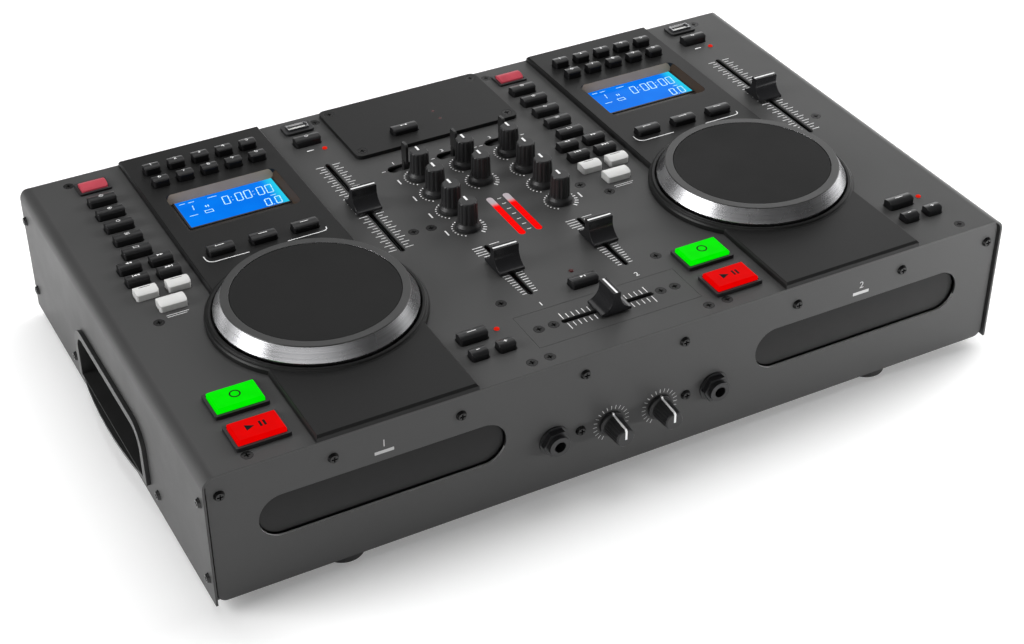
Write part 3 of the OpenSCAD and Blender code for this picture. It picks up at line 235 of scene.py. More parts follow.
def turned_metal(name, centre, color, roughness, lines=0.06):
    """Metal turned on a lathe about a vertical axis through centre: fine lines run round it."""
    g = Graph(name)
    from_axis = g.node("ShaderNodeVectorMath", {0: g.coords, 1: (centre[0] * MM, centre[1] * MM, 0)},
                       operation="SUBTRACT").outputs[0]
    parts = g.node("ShaderNodeSeparateXYZ", {0: from_axis}).outputs
    radius = g.math("SQRT", g.math("ADD", g.math("POWER", parts[0], 2.0), g.math("POWER", parts[1], 2.0)))
    angle = g.math("ARCTAN2", parts[1], parts[0])
    short_angle = g.math("MULTIPLY", angle, 0.00005)
    stretched = g.node("ShaderNodeCombineXYZ", {0: radius, 1: short_angle, 2: parts[2]}).outputs[0]
    rings = g.noise(0.5, 2.0, stretched)
    slow = g.noise(14.0, 2.0)
    tones = g.mix(g.between(rings, 0, 1), shade(color, 0.82), shade(color, 1.08))
    g.put(g.shader.inputs["Base Color"], tones)
    g.shader.inputs["Metallic"].default_value = 1.0
    g.put(g.shader.inputs["Roughness"], g.between(slow, roughness * 0.9, roughness * 1.1))
    g.shader.inputs["Anisotropic"].default_value = 0.7
    around = g.node("ShaderNodeVectorMath", {0: (0, 0, 1), 1: from_axis},
                    operation="CROSS_PRODUCT").outputs[0]
    tangent = g.node("ShaderNodeVectorTransform", {0: around}, vector_type="VECTOR", convert_from="OBJECT",
                     convert_to="WORLD").outputs[0]
    g.put(g.shader.inputs["Tangent"], tangent)
    g.put(g.shader.inputs["Normal"], g.bump(rings, lines, 0.01, g.soft_edges(0.3)))
    return g.material


def meter_material():
    """Level meter: its rear part is unlit and pale, the rest is lit red, in segments."""
    g = Graph("meter_segments")
    along = g.node("ShaderNodeSeparateXYZ", {0: g.coords}).outputs[1]
    lit = g.node("ShaderNodeMapRange", {"Value": along, "From Min": 4.2 * MM, "From Max": -1.0 * MM},
                 interpolation_type="SMOOTHSTEP").outputs["Result"]
    wave = g.math("FRACT", g.math("DIVIDE", along, 3.6 * MM))
    segment = g.node("ShaderNodeMapRange", {"Value": wave, "From Min": 0.03, "From Max": 0.1,
                                            "To Min": 0.75}).outputs["Result"]
    g.put(g.shader.inputs["Base Color"], g.mix(lit, (0.42, 0.38, 0.40, 1), (0.05, 0.0, 0.0, 1)))
    g.put(g.shader.inputs["Emission Color"], g.mix(lit, (0.12, 0.10, 0.11, 1), (0.95, 0.0, 0.0, 1)))
    g.put(g.shader.inputs["Emission Strength"], g.math("MULTIPLY", segment, 0.98))
    g.shader.inputs["Roughness"].default_value = 0.25
    g.shader.inputs["Specular IOR Level"].default_value = 0.02
    return g.material


def drawer_painted_shade_material():
    """Dark moulded drawer with painted shade under the top of its front, and a painted reflection of the
    floor that makes it lighter towards its lower edge.
    """
    g = Graph("drawer_plastic_painted_shade")
    height = g.node("ShaderNodeSeparateXYZ", {0: g.coords}).outputs[2]
    # painted shade at the top and painted floor reflection lower down: the colour grows lighter from 62 mm
    # down to 30 mm
    low = g.node("ShaderNodeMapRange", {"Value": height, "From Min": 62 * MM,
                                        "From Max": 30 * MM}).outputs["Result"]
    g.put(g.shader.inputs["Base Color"], g.mix(low, (0.003, 0.003, 0.003, 1), (0.020, 0.020, 0.020, 1)))
    g.put(g.shader.inputs["Roughness"], g.between(g.noise(9.0), 0.40, 0.46))
    g.shader.inputs["Specular IOR Level"].default_value = 0.22
    g.put(g.shader.inputs["Normal"], g.bump(g.noise(0.35, 2.0), 0.2, 0.01, g.soft_edges(0.3)))
    return g.material


def display_material(name, centre):
    """Blue backlit glass, brighter and greener towards its right end."""
    g = Graph(name)
    across = g.node("ShaderNodeSeparateXYZ", {0: g.coords}).outputs[0]
    right = centre + LCD_GLASS[0] / 2
    glow = g.node("ShaderNodeMapRange",
                  {"Value": across, "From Min": (right - 9) * MM, "From Max": right * MM},
                  interpolation_type="SMOOTHSTEP").outputs["Result"]
    haze = g.noise(16.0, 1.0)
    blue = g.mix(g.between(haze, 0, 1), (0.0, 0.17, 0.84, 1), (0.0, 0.21, 0.93, 1))
    g.put(g.shader.inputs["Emission Color"], g.mix(glow, blue, (0.02, 0.66, 0.88, 1)))
    g.shader.inputs["Emission Strength"].default_value = 0.95
    g.shader.inputs["Base Color"].default_value = (0.0, 0.01, 0.04, 1)
    g.shader.inputs["Roughness"].default_value = 0.1
    g.shader.inputs["Specular IOR Level"].default_value = 0.06
    return g.material


def floor_material():
    """Floor that takes the object's shadow, and looks white further out, also in mirrors."""
    g = Graph("studio_floor")
    path = g.node("ShaderNodeLightPath").outputs
    through = g.math("MAXIMUM", path["Is Glossy Ray"], path["Is Transmission Ray"])
    seen = g.math("MAXIMUM", path["Is Camera Ray"], through)
    g.shader.inputs["Base Color"].default_value = (0.97, 0.97, 0.97, 1)
    g.shader.inputs["Roughness"].default_value = 1.0
    g.shader.inputs["Specular IOR Level"].default_value = 0.0
    g.shader.inputs["Emission Color"].default_value = (1, 1, 1, 1)
    away = g.node("ShaderNodeVectorMath", {0: g.coords}, operation="LENGTH").outputs["Value"]
    white = g.node("ShaderNodeMapRange",
                   {"Value": away, "From Min": 0.42, "From Max": 0.9, "To Min": 0.14, "To Max": 1.0},
                   interpolation_type="SMOOTHSTEP").outputs["Result"]
    g.put(g.shader.inputs["Emission Strength"], g.math("MULTIPLY", seen, white))
    return g.material


GRAPHITE = moulded("graphite_paint", (0.045, 0.045, 0.045), 0.46, tone=0.05, tone_size=30, grain=0.35,
                   grain_size=0.35, depth=0.012, edge=0.3, specular=0.35)
PAN_PAINT = moulded("pan_paint", (0.06, 0.06, 0.062), 0.5, tone=0.06, grain=0.4, grain_size=0.4,
                    depth=0.015)
CHARCOAL = moulded("deck_plastic", (0.010, 0.010, 0.010), 0.38, tone=0.05, tone_size=20, grain=0.2,
                   grain_size=0.25, depth=0.008, edge=0.35, specular=0.2)
BLACK_KEY = moulded("key_plastic", (0.007, 0.007, 0.0075), 0.32, tone=0.08, grain=0.15, grain_size=0.4,
                    depth=0.01, edge=0.5)
WHITE_KEY = moulded("white_key_plastic", (0.60, 0.60, 0.59), 0.38, tone=0.03, grain=0.1, depth=0.008,
                    edge=0.5)
FRAME_BLACK = moulded("frame_plastic", (0.014, 0.014, 0.015), 0.4, tone=0.08, grain=0.2, depth=0.01,
                      edge=0.3)
# The outward face of each handle frame is painted a lighter grey than the handle's dark plastic: a painted
# reflection. The cup and the frame's upper and lower faces keep the dark plastic.
HANDLE_FACE_SHEEN = moulded("handle_face_painted_reflection", (0.08, 0.08, 0.08), 0.5, tone=0.06, grain=0.3, grain_size=0.5,
                 depth=0.015, edge=0.5)
HANDLE_CUP = moulded("handle_cup_plastic", (0.012, 0.012, 0.012), 0.55, tone=0.06, grain=0.3, depth=0.015,
                     edge=0.5)
KNOB = moulded("knob_plastic", (0.014, 0.014, 0.0145), 0.45, tone=0.08, grain=0.2, grain_size=0.3,
               depth=0.01, edge=0.3)
CAP = moulded("fader_cap_plastic", (0.012, 0.012, 0.013), 0.22, tone=0.06, grain=0.1, grain_size=0.3,
              depth=0.005, edge=0.3)
LEVER = moulded("lever_steel", (0.05, 0.05, 0.05), 0.35, metallic=0.6, tone=0.1, grain=0.2, depth=0.01,
                edge=0.3)
RUBBER = moulded("foot_rubber", (0.02, 0.02, 0.02), 0.8, tone=0.1, grain=0.5, grain_size=0.6, depth=0.03)
PAD = moulded("jog_rubber", (0.014, 0.014, 0.014), 0.65, tone=0.03, tone_size=40, grain=0.2,
              grain_size=0.25, depth=0.01, edge=0.2, specular=0.12)
JOG_RIM = moulded("jog_rim", (0.055, 0.055, 0.055), 0.33, metallic=0.4, tone=0.04, grain=0.15,
                  grain_size=0.3, depth=0.005)
# The sloped rim of each screw head is a much lighter metal than its flat top: a painted sheen round the rim,
# on which the lamps add their own highlight.
SCREW_RIM_SHEEN = moulded("screw_rim_painted_sheen", (0.30, 0.30, 0.30), 0.25, metallic=1.0, tone=0.1, grain=0.15, depth=0.01,
                    edge=0.1)
SCREW = moulded("screw_steel", (0.030, 0.030, 0.030), 0.25, metallic=0.7, tone=0.1, grain=0.15, depth=0.01,
                edge=0.15)
SILVER = moulded("plated_shell", (0.62, 0.62, 0.64), 0.22, metallic=1.0, tone=0.06, grain=0.1, depth=0.005,
                 edge=0.2)
JACK = moulded("jack_plastic", (0.012, 0.012, 0.013), 0.3, tone=0.08, grain=0.15, depth=0.01, edge=0.3)
BOARD = moulded("board_mask", (0.01, 0.09, 0.035), 0.4, tone=0.15, grain=0.2, depth=0.01)
STEEL = moulded("component_steel", (0.45, 0.45, 0.46), 0.35, metallic=1.0, tone=0.08, grain=0.15,
                depth=0.005)
LOADER = moulded("loader_plastic", (0.03, 0.03, 0.032), 0.5, tone=0.08, grain=0.25, grain_size=0.5,
                 depth=0.012)
DRAWER_WITH_PAINTED_SHADE = drawer_painted_shade_material()
# Pale grey painted highlight on the up-facing lower cut edge of each drawer slot.
SLOT_EDGE_HIGHLIGHT = moulded("slot_edge_painted_highlight", (0.50, 0.50, 0.50), 0.4, tone=0.05, grain=0.2, grain_size=0.3,
                   depth=0.01, edge=0.1)
GEAR = moulded("gear_plastic", (0.55, 0.53, 0.47), 0.45, tone=0.05, grain=0.1, depth=0.008)
LCD_FRAME = moulded("lcd_frame", (0.022, 0.019, 0.017), 0.25, tone=0.06, grain=0.05, depth=0.005, edge=0.2)
# The rear wall of each display recess is painted much lighter than its other walls: a painted reflection.
LCD_REAR_WALL_SHEEN = moulded("lcd_rear_wall_painted_reflection", (0.40, 0.33, 0.25), 0.45, tone=0.05, grain=0.1, depth=0.005, edge=0.2,
                    specular=0.1)
# The other walls are tinted warm to cancel the blue light that the display throws on them.
LCD_WALL = moulded("lcd_recess_wall", (0.050, 0.033, 0.022), 0.5, tone=0.05, grain=0.1, depth=0.005,
                   edge=0.2, specular=0.1)
WHITE_INK = moulded("white_ink", (0.80, 0.80, 0.80), 0.6, tone=0.05, grain=0.1, depth=0.004, edge=0.05)
GREY_INK = moulded("grey_ink", (0.42, 0.42, 0.42), 0.6, tone=0.05, grain=0.1, depth=0.004, edge=0.05)
DARK_INK = moulded("dark_ink", (0.004, 0.004, 0.004), 0.6, specular=0.1, tone=0.05, grain=0.1, depth=0.004,
                   edge=0.05)
TONGUE = moulded("usb_tongue_plastic", (0.62, 0.62, 0.60), 0.4, tone=0.04, grain=0.1, depth=0.005, edge=0.2)
LAMP_OFF = moulded("lamp_unlit", (0.05, 0.01, 0.01), 0.2, tone=0.05, grain=0.05, depth=0.005)
LAMP_ON = glowing("lamp_lit", (0.66, 0.015, 0.005), 0.95, (0.12, 0.0, 0.0))
CUE_GREEN = glowing("cue_cap_lit", (0.0, 0.89, 0.0), 0.95, (0.0, 0.03, 0.0))
PLAY_RED = glowing("play_cap_lit", (0.80, 0.0, 0.0), 0.95, (0.03, 0.0, 0.0))
EJECT_RED = glowing("eject_cap_lit", (0.50, 0.06, 0.09), 0.30, (0.32, 0.05, 0.065))
DIGIT = glowing("display_digit", (0.42, 0.80, 0.97), 0.92, (0.3, 0.4, 0.5))
METER = meter_material()


# ---------------------------------------------------------------- carried-over nodes

def dress(node, main, *rules):
    """Gives a node its material, and each rule (material, test) the faces whose centre, in mm, passes."""
    mesh = NODES[node].data
    mesh.materials.clear()
    for material in (main, *[r[0] for r in rules]):
        mesh.materials.append(material)
    for face in mesh.polygons:
        centre = face.center / MM
        face.material_index = next((i + 1 for i, r in enumerate(rules) if r[1](centre, face.normal)), 0)


def deck_side(p):
    """A point's x from the centre line of the deck that it is nearest to."""
    return p.x - DECK_X["a" if p.x < 0 else "b"]


def white_key(p, n):
    return deck_side(p) < WHITE_KEYS_X and WHITE_KEYS_Y[0] < p.y < WHITE_KEYS_Y[1]


def deck_lamp(p, n):
    return abs(p.x) > DECK_LAMPS_X


def meter(p, n):
    return abs(p.x) < METER_HALF_X and METER_Y[0] < p.y < METER_Y[1]


def sloping(n):
    return 0.1 < n.z < 0.97


def lcd_wall(p, n):
    in_recess = abs(deck_side(p)) < LCD_RECESS[0] and abs(p.y - LCD_Y) < LCD_RECESS[1]
    return in_recess and LCD_TOP < p.z < PLATE - 0.1 and sloping(n)


def usb_shell(p, n):
    across, along = abs(deck_side(p) - USB[0]), abs(p.y - USB[1])
    return across < USB_SHELL[0] and along < USB_SHELL[1]


def usb_tongue(p, n):
    across, along = abs(deck_side(p) - USB[0]), abs(p.y - USB[1] - USB_TONGUE_RISE)
    return across < USB_TONGUE[0] and along < USB_TONGUE[1]


def top_pointer(across, along):
    """The line on the end of a mixer knob, which points to the rear."""
    return abs(across) < 0.62 and 0.3 < along < 4.9


def front_pointer(across, out, up):
    """The raised ridge of a front knob: along the body, and down the end."""
    ridge = 1.5 < out < 15.2 and up > 6.25 - 0.06 * (out - 3)
    return abs(across) < 0.65 and (ridge or (out > 14.9 and up > 4.5) or (out > 15.65 and up > -0.6))


def inlet_pin(p, n):
    across, up = abs(p.x - INLET.x), abs(p.z - INLET.z)
    return across < INLET_PINS[0] and up < INLET_PINS[1] and p.y > REAR - INLET_DEPTH


def slot_edge(p, n):
    """The lower cut edge of a drawer slot, in the front panel's sheet: its faces that look up get a painted
    highlight.
    """
    at_slot = abs(p.x) > DRAWER_SLOT_X and DRAWER_SLOT_Z[0] < p.z < DRAWER_SLOT_Z[1]
    return at_slot and n.z > 0.3 and p.y < FRONT + 1.3


# Sloped faces of the screw heads, which get the painted sheen.
def screw_chamfer(p, n):
    return p.z > TOP - 1 and sloping(n)


# The cup, and the faces of the frame that do not look sideways; the rest of the handle gets the painted
# reflection.
def handle_cup(p, n):
    return abs(p.x) < SIDE_X + 0.2 or abs(n.x) < 0.5


def phono_barrel(p, n):
    return p.x < PHONO_X and p.y > REAR + 1.3


def ground_post(p, n):
    return p.x < GROUND_POST_X


# The rear wall of a display recess, which gets the painted reflection.
def lcd_rear_wall(p, n):
    return lcd_wall(p, n) and n.y < -0.3


dress("top_cover", GRAPHITE)
dress("front_panel", GRAPHITE, (SLOT_EDGE_HIGHLIGHT, slot_edge))
dress("chassis_pan", PAN_PAINT)
dress("mixer_plates", CHARCOAL, (GRAPHITE, lambda p, n: p.y < 0))
dress("lcd_windows", LCD_FRAME)
dress("feet", RUBBER)
dress("panel_screws", SCREW, (SCREW_RIM_SHEEN, screw_chamfer))
dress("key_frames", FRAME_BLACK)
dress("side_handles", HANDLE_FACE_SHEEN, (HANDLE_CUP, handle_cup))
dress("indicator_lamps", LAMP_OFF, (LAMP_ON, deck_lamp), (METER, meter))
dress("usb_sockets", FRAME_BLACK, (TONGUE, usb_tongue), (SILVER, usb_shell))
dress("front_jacks", JACK)
dress("circuit_boards", BOARD, (STEEL, lambda p, n: p.z > BOARDS_TOP))
dress("disc_loaders", LOADER)
dress("mixer_keys", BLACK_KEY)
dress("crossfader", CAP)
dress("power_rocker", FRAME_BLACK)
dress("mains_inlet", FRAME_BLACK, (SILVER, inlet_pin))
dress("rear_sockets", FRAME_BLACK, (SILVER, phono_barrel), (SILVER, ground_post))
for name in SELECTORS:
    dress(name, LEVER)
for s in DECKS:
    centre = (DECK_X[s], JOG_Y)
    dress(f"deck_plate_{s}", CHARCOAL, (LCD_REAR_WALL_SHEEN, lcd_rear_wall), (LCD_WALL, lcd_wall))
    skirt = turned_metal(f"jog_skirt_{s}", centre, (0.42, 0.42, 0.43), 0.27)
    dress(f"jog_wheel_{s}", skirt, (JOG_RIM, lambda p, n: p.z > JOG_RIM_Z))
    dress(f"jog_pad_{s}", PAD)
    # the tray and its front carry the painted shade and the painted floor reflection
    dress(f"disc_tray_{s}", DRAWER_WITH_PAINTED_SHADE)
    dress(f"tray_gear_{s}", GEAR)
    dress(f"disc_hub_{s}", STEEL)
    dress(f"pitch_fader_{s}", CAP)
    dress(f"channel_fader_{s}", CAP)
    dress(f"cue_button_{s}", CUE_GREEN)
    dress(f"play_button_{s}", PLAY_RED)
    dress(f"eject_key_{s}", EJECT_RED)
    dress(f"number_keys_{s}", BLACK_KEY)
    dress(f"deck_keys_{s}", BLACK_KEY, (WHITE_KEY, white_key))

MIXER_KNOBS = [f"{k}_knob_{s}" for s in DECKS for k in ("level", "high", "mid", "low")]
MIXER_KNOBS += ["master_knob", "cue_mix_knob"]
FRONT_KNOBS = ("mic_knob", "phones_knob")
for name in MIXER_KNOBS:
    at = middle(name)
    tip = highest(name).z - 0.15
    dress(name, KNOB, (WHITE_INK, lambda p, n: top_pointer(p.x - at.x, p.y - at.y) and p.z > tip))
for name in FRONT_KNOBS:
    at = middle(name)
    dress(name, KNOB, (WHITE_INK, lambda p, n: front_pointer(p.x - at.x, FRONT - p.y, p.z - at.z)))


# ---------------------------------------------------------------- printed marks

def on_top(x, y, z=TOP, turn=0.0):
    return Matrix.Translation((x, y, z)) @ Matrix.Rotation(math.radians(turn), 4, "Z")


def on_front(x, z):
    return Matrix.Translation((x, FRONT, z)) @ Matrix.Rotation(math.radians(90), 4, "X")


class Ink:
    """Thin raised print. Marks are drawn in a plane and may then be laid on the surface under them."""

    def __init__(self):
        self.mesh = bmesh.new()
        self.plane = Matrix.Identity(4)

    def at(self, plane):
        self.plane = plane
        return self

    def face(self, points):
        self.mesh.faces.new([self.mesh.verts.new(self.plane @ Vector((p[0], p[1], 0))) for p in points])
        return self

    def line(self, points, width, closed=False):
        """A stroke through the points, with square ends and mitred corners."""
        sides, count = [], len(points)
        for i, p in enumerate(points):
            before = Vector(p) - Vector(points[i - 1 if closed else max(i - 1, 0)])
            after = Vector(points[(i + 1) % count if closed else min(i + 1, count - 1)]) - Vector(p)
            along = (before.normalized() + after.normalized()).normalized()
            reach = width / 2 / max(0.4, abs(along.dot((after if after.length else before).normalized())))
            across = Vector((-along.y, along.x)) * reach
            sides.append((Vector(p) + across, Vector(p) - across))
        verts = [[self.mesh.verts.new(self.plane @ Vector((q.x, q.y, 0))) for q in pair] for pair in sides]
        for (a, b), (c, d) in zip(verts, verts[1:] + (verts[:1] if closed else [])):
            self.mesh.faces.new((b, d, c, a))
        return self

    def dash(self, reach, width, v=0.0):
        """A level stroke, centred."""
        return self.line([(-reach, v), (reach, v)], width)

    def spoke(self, inner, outer, angle, width):
        """A stroke straight away from the middle."""
        across, up = math.cos(angle), math.sin(angle)
        return self.line([(inner * across, inner * up), (outer * across, outer * up)], width)

    def on_circle(self, centre, radius, angle):
        return (centre[0] + radius * math.cos(angle), centre[1] + radius * math.sin(angle))

    def arc(self, centre, radius, width, start=0.0, end=360.0, steps=28):
        turns = [math.radians(start + (end - start) * i / steps) for i in range(steps + 1)]
        return self.line([self.on_circle(centre, radius, t) for t in turns], width)

    def outline(self, width, height, corner, stroke):
        """A closed stroke round a rectangle with round corners, centred."""
        points = []
        for i, (sx, sy) in enumerate(((1, 1), (-1, 1), (-1, -1), (1, -1))):
            for step in range(5):
                t = math.radians(90 * i + 22.5 * step)
                middle_of_corner = (sx * (width / 2 - corner), sy * (height / 2 - corner))
                points.append(self.on_circle(middle_of_corner, corner, t))
        return self.line(points, stroke, closed=True)

    def dot(self, centre, radius, sides=16):
        turns = [2 * math.pi * i / sides for i in range(sides)]
        return self.face([self.on_circle(centre, radius, t) for t in turns])

    def bar(self, centre, width, height):
        x, y = centre
        return self.face([(x - width / 2, y - height / 2), (x + width / 2, y - height / 2),
                          (x + width / 2, y + height / 2), (x - width / 2, y + height / 2)])

    def arrow(self, centre, size, way=1):
        """A filled triangle that points right, or left where way is -1."""
        x, y = centre
        back = x - way * size / 2
        points = [(back, y - size / 2), (x + way * size / 2, y), (back, y + size / 2)]
        return self.face(points if way > 0 else points[::-1])

    def number(self, text, height):
        """Digits of the built-in font, centred."""
        curve = bpy.data.curves.new("digits", "FONT")
        curve.body = text
        holder = bpy.data.objects.new("digits", curve)
        bpy.context.scene.collection.objects.link(holder)
        bpy.context.view_layer.update()
        made = bpy.data.meshes.new_from_object(holder.evaluated_get(bpy.context.evaluated_depsgraph_get()))
        low = Vector([min(v.co[i] for v in made.vertices) for i in (0, 1)])
        high = Vector([max(v.co[i] for v in made.vertices) for i in (0, 1)])
        scale, mid = height / (high.y - low.y), (low + high) / 2
        flat = [Vector(((v.co.x - mid.x) * scale, (v.co.y - mid.y) * scale, 0)) for v in made.vertices]
        verts = [self.mesh.verts.new(self.plane @ point) for point in flat]
        for polygon in made.polygons:
            self.mesh.faces.new([verts[i] for i in polygon.vertices])
        bpy.data.objects.remove(holder)
        bpy.data.curves.remove(curve)
        bpy.data.meshes.remove(made)
        return self

    def lay_on(self, node, cell=0.7):
        """Cuts the marks into small cells and drops them straight down on the node."""
        bmesh.ops.remove_doubles(self.mesh, verts=self.mesh.verts, dist=0.001)
        bmesh.ops.triangulate(self.mesh, faces=[f for f in self.mesh.faces if len(f.verts) > 4])
        for _ in range(4):
            long_edges = [e for e in self.mesh.edges if e.calc_length() > cell]
            if not long_edges:
                break
            bmesh.ops.subdivide_edges(self.mesh, edges=long_edges, cuts=1, use_grid_fill=True)
        under = NODES[node].data
        tree = BVHTree.FromPolygons([v.co / MM for v in under.vertices],
                                    [tuple(p.vertices) for p in under.polygons])
        for vert in self.mesh.verts:
            hit = tree.ray_cast(vert.co + Vector((0, 0, 30)), Vector((0, 0, -1)))[0]
            if hit is not None:
                vert.co.z = hit.z
        return self

    def piece(self, name, body, material, slot=None, thickness=INK_T):
        """Turns the flat marks into closed solids and makes the object, in metres."""
        bmesh.ops.remove_doubles(self.mesh, verts=self.mesh.verts, dist=0.0005)
        for face in self.mesh.faces:
            face.normal_update()
        made = bmesh.ops.extrude_face_region(self.mesh, geom=list(self.mesh.faces), use_keep_orig=True)
        raised = {v for v in made["geom"] if isinstance(v, bmesh.types.BMVert)}
        up = (self.plane.to_3x3() @ Vector((0, 0, 1))).normalized()
        for vert in self.mesh.verts:
            vert.co += up * ((thickness - INK_SINK) if vert in raised else -INK_SINK)
        bmesh.ops.recalc_face_normals(self.mesh, faces=self.mesh.faces)
        bmesh.ops.scale(self.mesh, vec=(MM, MM, MM), verts=self.mesh.verts)
        mesh = bpy.data.meshes.new(name)
        self.mesh.to_mesh(mesh)
        self.mesh.free()
        mesh.materials.append(material)
        made = bpy.data.objects.new(name, mesh)
        bpy.context.scene.collection.objects.link(made)
        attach(made, body)


def scale_marks(ink, place, length, inner, reaches, width=0.45):
    """Ticks on both sides of a slot that runs along the plane's v axis, from its far end to its near end."""
    ink.at(place)
    for i, reach in enumerate(reaches):
        v = length / 2 - length * i / (len(reaches) - 1)
        for side in (-1, 1):
            ink.line([(side * inner, v), (side * reach, v)], width)


def knob_ring(ink, place, radius, marks=21, sweep=290.0):
    """Dots round a knob, clockwise from its low end, that grow into ticks towards its high end."""
    ink.at(place)
    for i in range(marks):
        t = math.radians(90 + sweep / 2 - sweep * i / (marks - 1))
        reach = radius + 0.45 + max(0, i - marks // 2) * 0.16
        ink.spoke(radius - 0.45, reach, t, 0.8)


def top_print():
    """Scales, rings round the knobs, numbers and dashes on the top sheet."""
    ink = Ink()
    for s in DECKS:
        slider = middle(f"pitch_fader_{s}")
        scale_marks(ink, on_top(slider.x, PITCH_SCALE_Y), PITCH_SCALE, 2.7, [7.6, 5.6] * 18 + [7.6])
        ink.at(on_top(DECK_X[s] + STRIP_X, LABEL_LINES_Y))
        ink.line([(-6, 0.8), (6.5, 0.8)], 0.35).line([(-6, -0.8), (5, -0.8)], 0.35)
        ink.at(on_top(DECK_X[s] + PITCH_LABEL[0], PITCH_LABEL[1])).bar((0, 0), 4.4, 0.8)
    for s in DECKS:
        x = middle(f"channel_fader_{s}").x
        reaches = [8.4] * 4 + [6.1 - 0.28 * i for i in range(8)] + [6.4 - 0.2 * i for i in range(10)]
        scale_marks(ink, on_top(x, CHANNEL_SCALE_Y), SHORT_SCALE, 2.1, reaches)
        ink.at(on_top(x, CHANNEL_NUMBER_Y)).number(DECK_NUMBER[s], 3.4)
    cross_scale = [7.7] + [6.1] * 15 + [7.7]
    scale_marks(ink, on_top(0, CROSS_SCALE_Y, TOP, 90), SHORT_SCALE, 2.1, cross_scale)
    for name in MIXER_KNOBS:
        at = middle(name)
        knob_ring(ink, on_top(at.x, at.y), KNOB_RING_R)
    for s in DECKS:
        away = -KNOB_LABEL_X if s == "a" else KNOB_LABEL_X
        for row in range(4):
            y = KNOB_LABEL_Y - KNOB_PITCH * row
            ink.at(on_top(middle(f"level_knob_{s}").x + away, y, TOP, -90)).dash(2.6, 0.9)
    for i in range(len(SELECTORS)):
        x = SELECTOR_X * (i - 1)
        ink.at(on_top(x, SELECTOR_MARKS_Y))
        for u in (-SELECTOR_DASH_X, SELECTOR_DASH_X):
            ink.line([(u - 1.2, 0), (u + 1.2, 0)], 0.5)
        ink.at(on_top(x + SELECTOR_NUMBER[0], SELECTOR_NUMBER[1])).number(str(i + 1), 2.6)
    ink.at(on_top(0, METER_MARKS_Y))
    for i in range(7):
        ink.dash(1.3, 0.5, 6 * i - 18)
    ink.piece("top_print", "console", WHITE_INK)


def plate_print():
    """The stroke that joins the loop keys of a deck, open in its middle."""
    for s in DECKS:
        ink = Ink()
        ink.at(on_top(DECK_X[s], 0, PLATE))
        left = [(-36, 25.2), (-36, 21.5), (-35.1, 19.3), (-33, 18.1), (-31, 17.9), (-12, 17.9)]
        right = [(10.7, 17.9), (31.4, 17.9), (33.6, 18.3), (34.7, 19.4), (35, 21.4)]
        ink.line(left, 0.55).line(right, 0.55)
        ink.piece(f"plate_print_{s}", "console", WHITE_INK)


def front_print():
    """A number and a bar over each drawer, and a ring of ticks round each front knob."""
    ink = Ink()
    for s in DECKS:
        x = middle(f"disc_tray_{s}").x
        ink.at(on_front(x, FRONT_NUMBER_Z)).number(DECK_NUMBER[s], 4.2)
        ink.at(on_front(x, FRONT_BAR_Z)).bar((0, 0), 10.6, 1.9)
    for name in FRONT_KNOBS:
        at = middle(name)
        ink.at(on_front(at.x, at.z))
        for i in range(FRONT_RING_MARKS):
            ink.spoke(*FRONT_RING, math.radians(FRONT_RING_STEP * i + FRONT_RING_START), 0.4)
    ink.piece("front_print", "console", GREY_INK)


def clock_sign(ink):
    ink.arc((0, 0), 1.1, 0.3).line([(0, 0.8), (0, 0), (0.6, 0)], 0.25)


def single_sign(ink):
    ink.dot((0, 0), 0.5).arc((0, 0), 1.1, 0.28)


def repeat_sign(ink):
    ink.arc((0, 0), 1.0, 0.3, 60, 360).arrow((0.7, 0.75), 0.9)


def list_sign(ink):
    ink.dash(1.4, 0.3, 0.9).dash(1.4, 0.3).dash(1.4, 0.3, -0.9)


def folder_sign(ink):
    tab = [(1.5, 0.7), (0, 0.7), (-0.4, 1.2), (-1.5, 1.2)]
    ink.line([(-1.5, -0.9), (1.5, -0.9), *tab, (-1.5, -0.9)], 0.28)


MODE_SIGNS = (clock_sign, single_sign, repeat_sign, list_sign, folder_sign)


def number_print(s):
    keys = middle(f"number_keys_{s}")
    ink = Ink()
    for i in range(10):
        column, row = NUMBER_PITCH[0] * (i % 5 - 2), NUMBER_PITCH[1] * (0.5 - i // 5)
        ink.at(on_top(keys.x + column, keys.y + NUMBER_RISE + row)).number(str((i + 1) % 10), 2.9)
    ink.lay_on(f"number_keys_{s}").piece(f"number_print_{s}", f"number_key_group_{s}", WHITE_INK)


